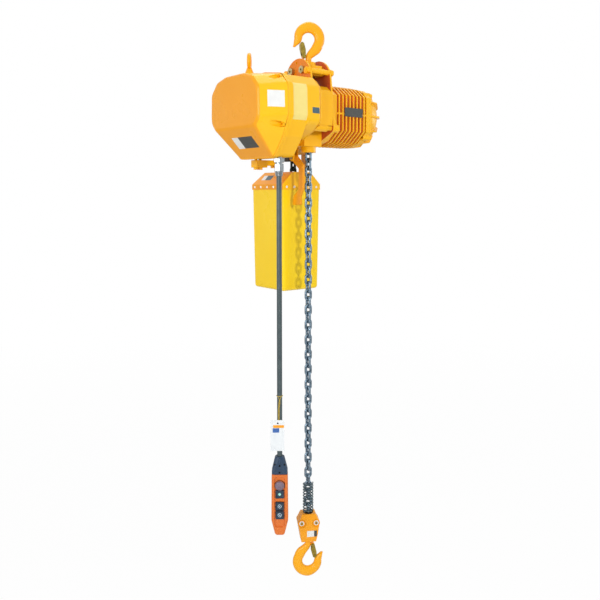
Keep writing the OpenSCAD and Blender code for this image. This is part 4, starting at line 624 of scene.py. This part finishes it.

# The chain guide and limit lever: a cast guide between the plates, and a bent tongue that the block lifts.
# The tongue is cut from plate and enamelled, and it swings on a pivot between two lugs of the guide.
# Lever enamel: a light orange, deeper than the guide's yellow beside it, standing as painted shade for the lever's
# left-facing side.
lever_and_shade_coat = enamel("orange_lever_enamel_and_painted_shade", "#F3A214", "#EF9612")
softened("chain_guide_casting", "chain_guide", [yellow_coat], "hoist", 0.7)
softened("limit_tongue", "limit_lever", [lever_and_shade_coat], "limit_lever", 1.2)

# The chain bucket: folded sheet steel, lemon yellow, with a sloped hood riveted round its rim.
# The hood hangs by two ears on pins, from a cast bracket under the gear housing and from the motor.
# Lemon enamel: the lightest yellow on the hoist. The hood's is more golden.
bucket_coat = enamel("stoved_lemon_yellow_enamel", "#FDD61C", "#FBCC18")
hood_coat = enamel("stoved_golden_hood_enamel", "#FBC21A", "#F9B818")
skirt_z = -0.4185
softened("bucket_pressing", "chain_bucket", [bucket_coat], "hoist", 0.8)
hood_pressing = softened("hood_pressing", "bucket_hood", [hood_coat, lever_and_shade_coat], "hoist", 0.7)
# The hood's left-facing slopes above the skirt take the lever's orange as painted shade.
for face in hood_pressing.data.polygons:
    if face.normal.x < -0.5 and face.center.z > skirt_z:
        face.material_index = 1
softened("hanger_bracket", "bucket_bracket", [yellow_coat], "hoist", 1.2)
# Enamelled rivets: small white heads with a little shade in them.
rivet_white = surface("white_enamelled_rivet", ("#F6F6F2", "#DADAD4"), 0.35, clouds=(4, 0.6), grains=(1.5, 0.05))
dress(rivet_white, "hood_rivets")

# The cable gland: nickel-plated brass, a hexagon body screwed into the gear housing and a clamping cap.
# It grips the lead where it leaves the hoist, and the smooth plate gives it clear highlights.
nickel = surface("bright_nickel_plate", ("#A2A8AB", "#7F878B"), 0.24, clouds=(8, 0.6), grains=(1.6, 0.03),
                 metallic=1.0)
softened("gland_turning", "cable_gland", [nickel], "hoist", 0.4)

# The pendant: a moulded case with well-rounded edges and a recessed front, sealed at the top by a bolted boot.
# Four dark screws hold the boot, which has a rib down its middle to stiffen it round the lead.
# Nylon: an even orange with a fine moulded grain and a soft sheen.
orange_nylon = surface("moulded_orange_nylon", ("#DD7428", "#D56A24"), 0.38, clouds=(40, 0.6), grains=(1.8, 0.02))
# Rubber: a dull blue-grey with a deeper grain.
boot_rubber = surface("moulded_blue_grey_rubber", ("#223C56", "#1A3048"), 0.46, clouds=(20, 0.6),
                      grains=(1.8, 0.08))
# Blacked screws: small dark heads with a metal glint.
dark_screw = surface("blacked_pan_screw", ("#23282C", "#15181B"), 0.4, clouds=(3, 0.6), grains=(1.0, 0.04),
                     metallic=0.8)
from_view = to_view.inverted()


def on_case_rim(co):
    """Whether a corner in mm is on the case's front or back rim, off the line where the boot meets it."""
    rim_depth, recess_half, recess_foot = 0.0176, 0.0142, -1.3225
    at = from_view @ (co / 1000)
    off_boot = co.z < -1178 or co.z > -1177
    return abs(at.y) > rim_depth and off_boot and (abs(at.x) > recess_half or at.z < recess_foot)


softened("pendant_case", "pendant_body", [orange_nylon], "hoist", 0.4, [(on_case_rim, 4.5, 5)])
softened("pendant_boot_moulding", "pendant_boot", [boot_rubber], "hoist", 0.8)


def seat(node, axes, start, way):
    """Where a line in the given axes meets a CAD node, in millimetres along them."""
    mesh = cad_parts[node].data
    skin = BVHTree.FromPolygons([axes.inverted() @ v.co * 1000 for v in mesh.vertices],
                                [tuple(p.vertices) for p in mesh.polygons])
    return skin.ray_cast(Vector(start), Vector(way))[0]


in_front, inwards = -60, (0, 1, 0)
shape = bmesh.new()
for x, z in ((-12.5, -1150), (0, -1153), (12.5, -1150), (0, -1170)):
    at = seat("pendant_boot", to_view, (x, in_front, z), inwards)
    bmesh.ops.create_cone(shape, cap_ends=True, segments=24, radius1=2.9, radius2=2.3, depth=1.4,
                          matrix=Matrix.Translation(at + Vector((0, -0.2, 0))) @ facing_out)
bmesh.ops.transform(shape, matrix=to_view @ from_mm, verts=shape.verts)
new_piece("boot_screws", shape, [dark_screw], "hoist")

rib_size = (5.4, 4.4, 17.0, 1)
high = seat("pendant_boot", to_view, (0, in_front, -1133), inwards)
low = seat("pendant_boot", to_view, (0, in_front, -1149), inwards)
lean = math.atan2(high.y - low.y, high.z - low.z)
shape = bmesh.new()
bmesh.ops.create_cube(shape, size=1.0, matrix=Matrix.Translation((high + low) / 2)
                      @ Matrix.Rotation(-lean, 4, "X") @ Matrix.Diagonal(rib_size))
bmesh.ops.bevel(shape, geom=shape.edges[:], offset=1.0, affect="EDGES", segments=3, profile=0.5, material=-1)
bmesh.ops.transform(shape, matrix=to_view @ from_mm, verts=shape.verts)
new_piece("boot_rib", shape, [boot_rubber], "hoist")

# The buttons: dark moulded squares with a dished face and a pale inlaid sign, and a mushroom stop head in a rim.
# The start button has a green lens, and the two others an arrow in a ring for up and down.
# Button mouldings: navy with a fine grain, and a stop head faded to mauve.
navy = surface("moulded_navy_button", ("#16293A", "#223B52"), 0.35, clouds=(10, 0.6), grains=(1.5, 0.04))
mauve = surface("faded_stop_button", ("#7C6A78", "#6C5B6A"), 0.45, clouds=(8, 0.8), grains=(1.5, 0.06))
# Lens and inlay: pale mouldings, the lens glossier.
green_lens = surface("pale_green_lens", ("#A9E3D6", "#86CFC4"), 0.25, clouds=(4, 0.6), grains=(1.5, 0.03))
pale_inlay = surface("pale_moulded_inlay", ("#C9DCE8", "#A9C3D4"), 0.45, clouds=(4, 0.6), grains=(1.5, 0.03))
sign_y, sign_depth = -19.0, 0.9
for name, z, sign, finish in (("start", -1229.5, 0, green_lens), ("up", -1262.5, 1, pale_inlay),
                              ("down", -1287, -1, pale_inlay)):
    softened(name + "_button_cap", name + "_button", [navy], name + "_button", 0.7)
    at = Matrix.Translation((0, sign_y, z)) @ facing_out
    shape = bmesh.new()
    if sign:
        hoop(shape, (0, sign_y, z), 4.6, 0.75, 40)
        bmesh.ops.create_cone(shape, cap_ends=True, segments=3, radius1=2.7, radius2=2.3, depth=sign_depth,
                              matrix=at @ Matrix.Rotation(sign * math.pi / 2, 4, "Z"))
    else:
        bmesh.ops.create_cone(shape, cap_ends=True, segments=32, radius1=4.2, radius2=3.4, depth=sign_depth,
                              matrix=at)
    bmesh.ops.recalc_face_normals(shape, faces=shape.faces)
    bmesh.ops.transform(shape, matrix=to_view @ from_mm, verts=shape.verts)
    new_piece(name + "_button_sign", shape, [finish], name + "_button", 40)

# The stop head's stem is shortened, so that it stays clear of the case when it is pressed.
stem_y, stem_cut = -0.009, 0.0006
stop_head = softened("stop_button_head", "stop_button", [mauve], "stop_button", 0.7)
for corner in stop_head.data.vertices:
    if (from_view @ corner.co).y > stem_y:
        corner.co = to_view @ (from_view @ corner.co - Vector((0, stem_cut, 0)))
shape = bmesh.new()
hoop(shape, (0, -15.3, -1205), 13.3, 0.6, 48)
bmesh.ops.recalc_face_normals(shape, faces=shape.faces)
bmesh.ops.transform(shape, matrix=to_view @ from_mm, verts=shape.verts)
new_piece("stop_button_rim", shape, [moulding], "hoist", 60)

# The hook block: two cast halves with rounded skins, held round the chain's pin by two through bolts.
# Each bolt has a bright washer and a small brass-coloured head in a dished seat, and a bare plate is stuck below.
# Block enamel: an even orange-yellow with soft highlights on the cast rounding.
block_coat = enamel("stoved_orange_yellow_enamel", "#F8A71A", "#F69C18")
bolt_x, bolt_z = 20.5, -1352.2
seat_floor, seat_radius, seat_run, seat_rise = 16.9, 8.0, 6.0, 6
for side in ("front", "rear"):
    shape = cad_copy("block_half_" + side)
    block_half = new_piece(side + "_block_half", shape, [block_coat], "hook_block", 180)
    skin = block_half.modifiers.new("cast_skin", "REMESH")
    skin.mode, skin.voxel_size = "VOXEL", 0.0008
    rounding = block_half.modifiers.new("cast_rounding", "SMOOTH")
    rounding.factor, rounding.iterations = 0.5, 24
    shape = bmesh.new()
    shape.from_object(block_half, bpy.context.evaluated_depsgraph_get())
    block_half.modifiers.clear()
    bmesh.ops.transform(shape, matrix=to_mm @ to_block.inverted(), verts=shape.verts)
    dished = []
    for corner in shape.verts:
        x, y, z = corner.co
        off = math.hypot(abs(x) - bolt_x, z - bolt_z)
        slope = max(0, min(1, (off - seat_radius) / seat_run))
        depth = seat_floor + seat_rise * slope * slope * (3 - 2 * slope)
        if off < seat_radius + seat_run and abs(y) > depth:
            corner.co.y = math.copysign(depth, y)
            dished.append(corner)
    for turn in range(3):
        bmesh.ops.smooth_vert(shape, verts=dished, factor=0.5, use_axis_x=True, use_axis_y=True, use_axis_z=True)
    bmesh.ops.transform(shape, matrix=to_block @ from_mm, verts=shape.verts)
    shape.to_mesh(block_half.data)
    shape.free()
    block_half.data.shade_smooth()
    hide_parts("block_half_" + side)

# Plated washers are nearly white, and passivated bolts a blotched brass colour.
bright_washer = surface("bright_plated_washer", ("#F4F3EE", "#DAD8CE"), 0.3, clouds=(5, 0.6), grains=(1.4, 0.03),
                        metallic=0.6)
brass_head = surface("yellow_passivated_bolt", ("#B08A3A", "#7F6224"), 0.32, clouds=(4, 0.8), grains=(1.4, 0.04),
                     metallic=0.9)
shape = bmesh.new()
for x in (-bolt_x, bolt_x):
    for y, depth, radius, sides, finish in (
            (-17.8, 1.6, 7.0, 32, 0), (17.8, 1.6, 7.0, 32, 0), (-20.0, 3.4, 3.9, 6, 1), (20.2, 3.6, 6.4, 6, 1),
            (0, 34.2, 4.0, 32, 1)):
        part = bmesh.ops.create_cone(shape, cap_ends=True, segments=sides, radius1=radius, radius2=radius,
                                     depth=depth, matrix=Matrix.Translation((x, y, bolt_z)) @ facing_out)
        for face in {f for v in part["verts"] for f in v.link_faces}:
            face.material_index = finish
bmesh.ops.transform(shape, matrix=to_block @ from_mm, verts=shape.verts)
through_bolts = new_piece("block_through_bolts", shape, [bright_washer, brass_head], "hook_block")
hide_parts("block_bolts")
laid_on("block_plate", "block_half_front", (-6, -40, -1391), (22, 0, -1373), (0, -1, 0),
        [white_vinyl, black_foil], "hook_block", to_block, edge=(0, 14))

# The buffer spring: oil-tempered wire wound on a helix round the chain, seated on the block.
# Tempering leaves the wire a dark blue-grey, with a dull metal sheen.
spring_wire = surface("oil_tempered_spring_wire", ("#5A6C70", "#3B4A4E"), 0.35, clouds=(7, 0.8),
                      grains=(1.2, 0.05), metallic=0.85)
mean, wire, pitch, turns = 13.5, 3.4, 8.4, 10
steps = turns * 40
spring_seat = Matrix.Translation((0, 0, -1.32529))
shape = bmesh.new()
ring = bmesh.ops.create_circle(shape, segments=12, radius=wire / 2,
                               matrix=Matrix.Translation((mean, 0, 0)) @ facing_out)
edges = list({e for v in ring["verts"] for e in v.link_edges})
bmesh.ops.spin(shape, geom=edges, cent=(0, 0, 0), axis=(0, 0, 1), dvec=(0, 0, pitch * turns / steps),
               angle=2 * math.pi * turns, steps=steps)
bmesh.ops.holes_fill(shape, edges=shape.edges, sides=0)
bmesh.ops.recalc_face_normals(shape, faces=shape.faces)
bmesh.ops.transform(shape, matrix=to_block @ spring_seat @ from_mm, verts=shape.verts)
buffer = new_piece("wound_buffer_spring", shape, [spring_wire], "hook_block", 60)
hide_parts("buffer_spring")
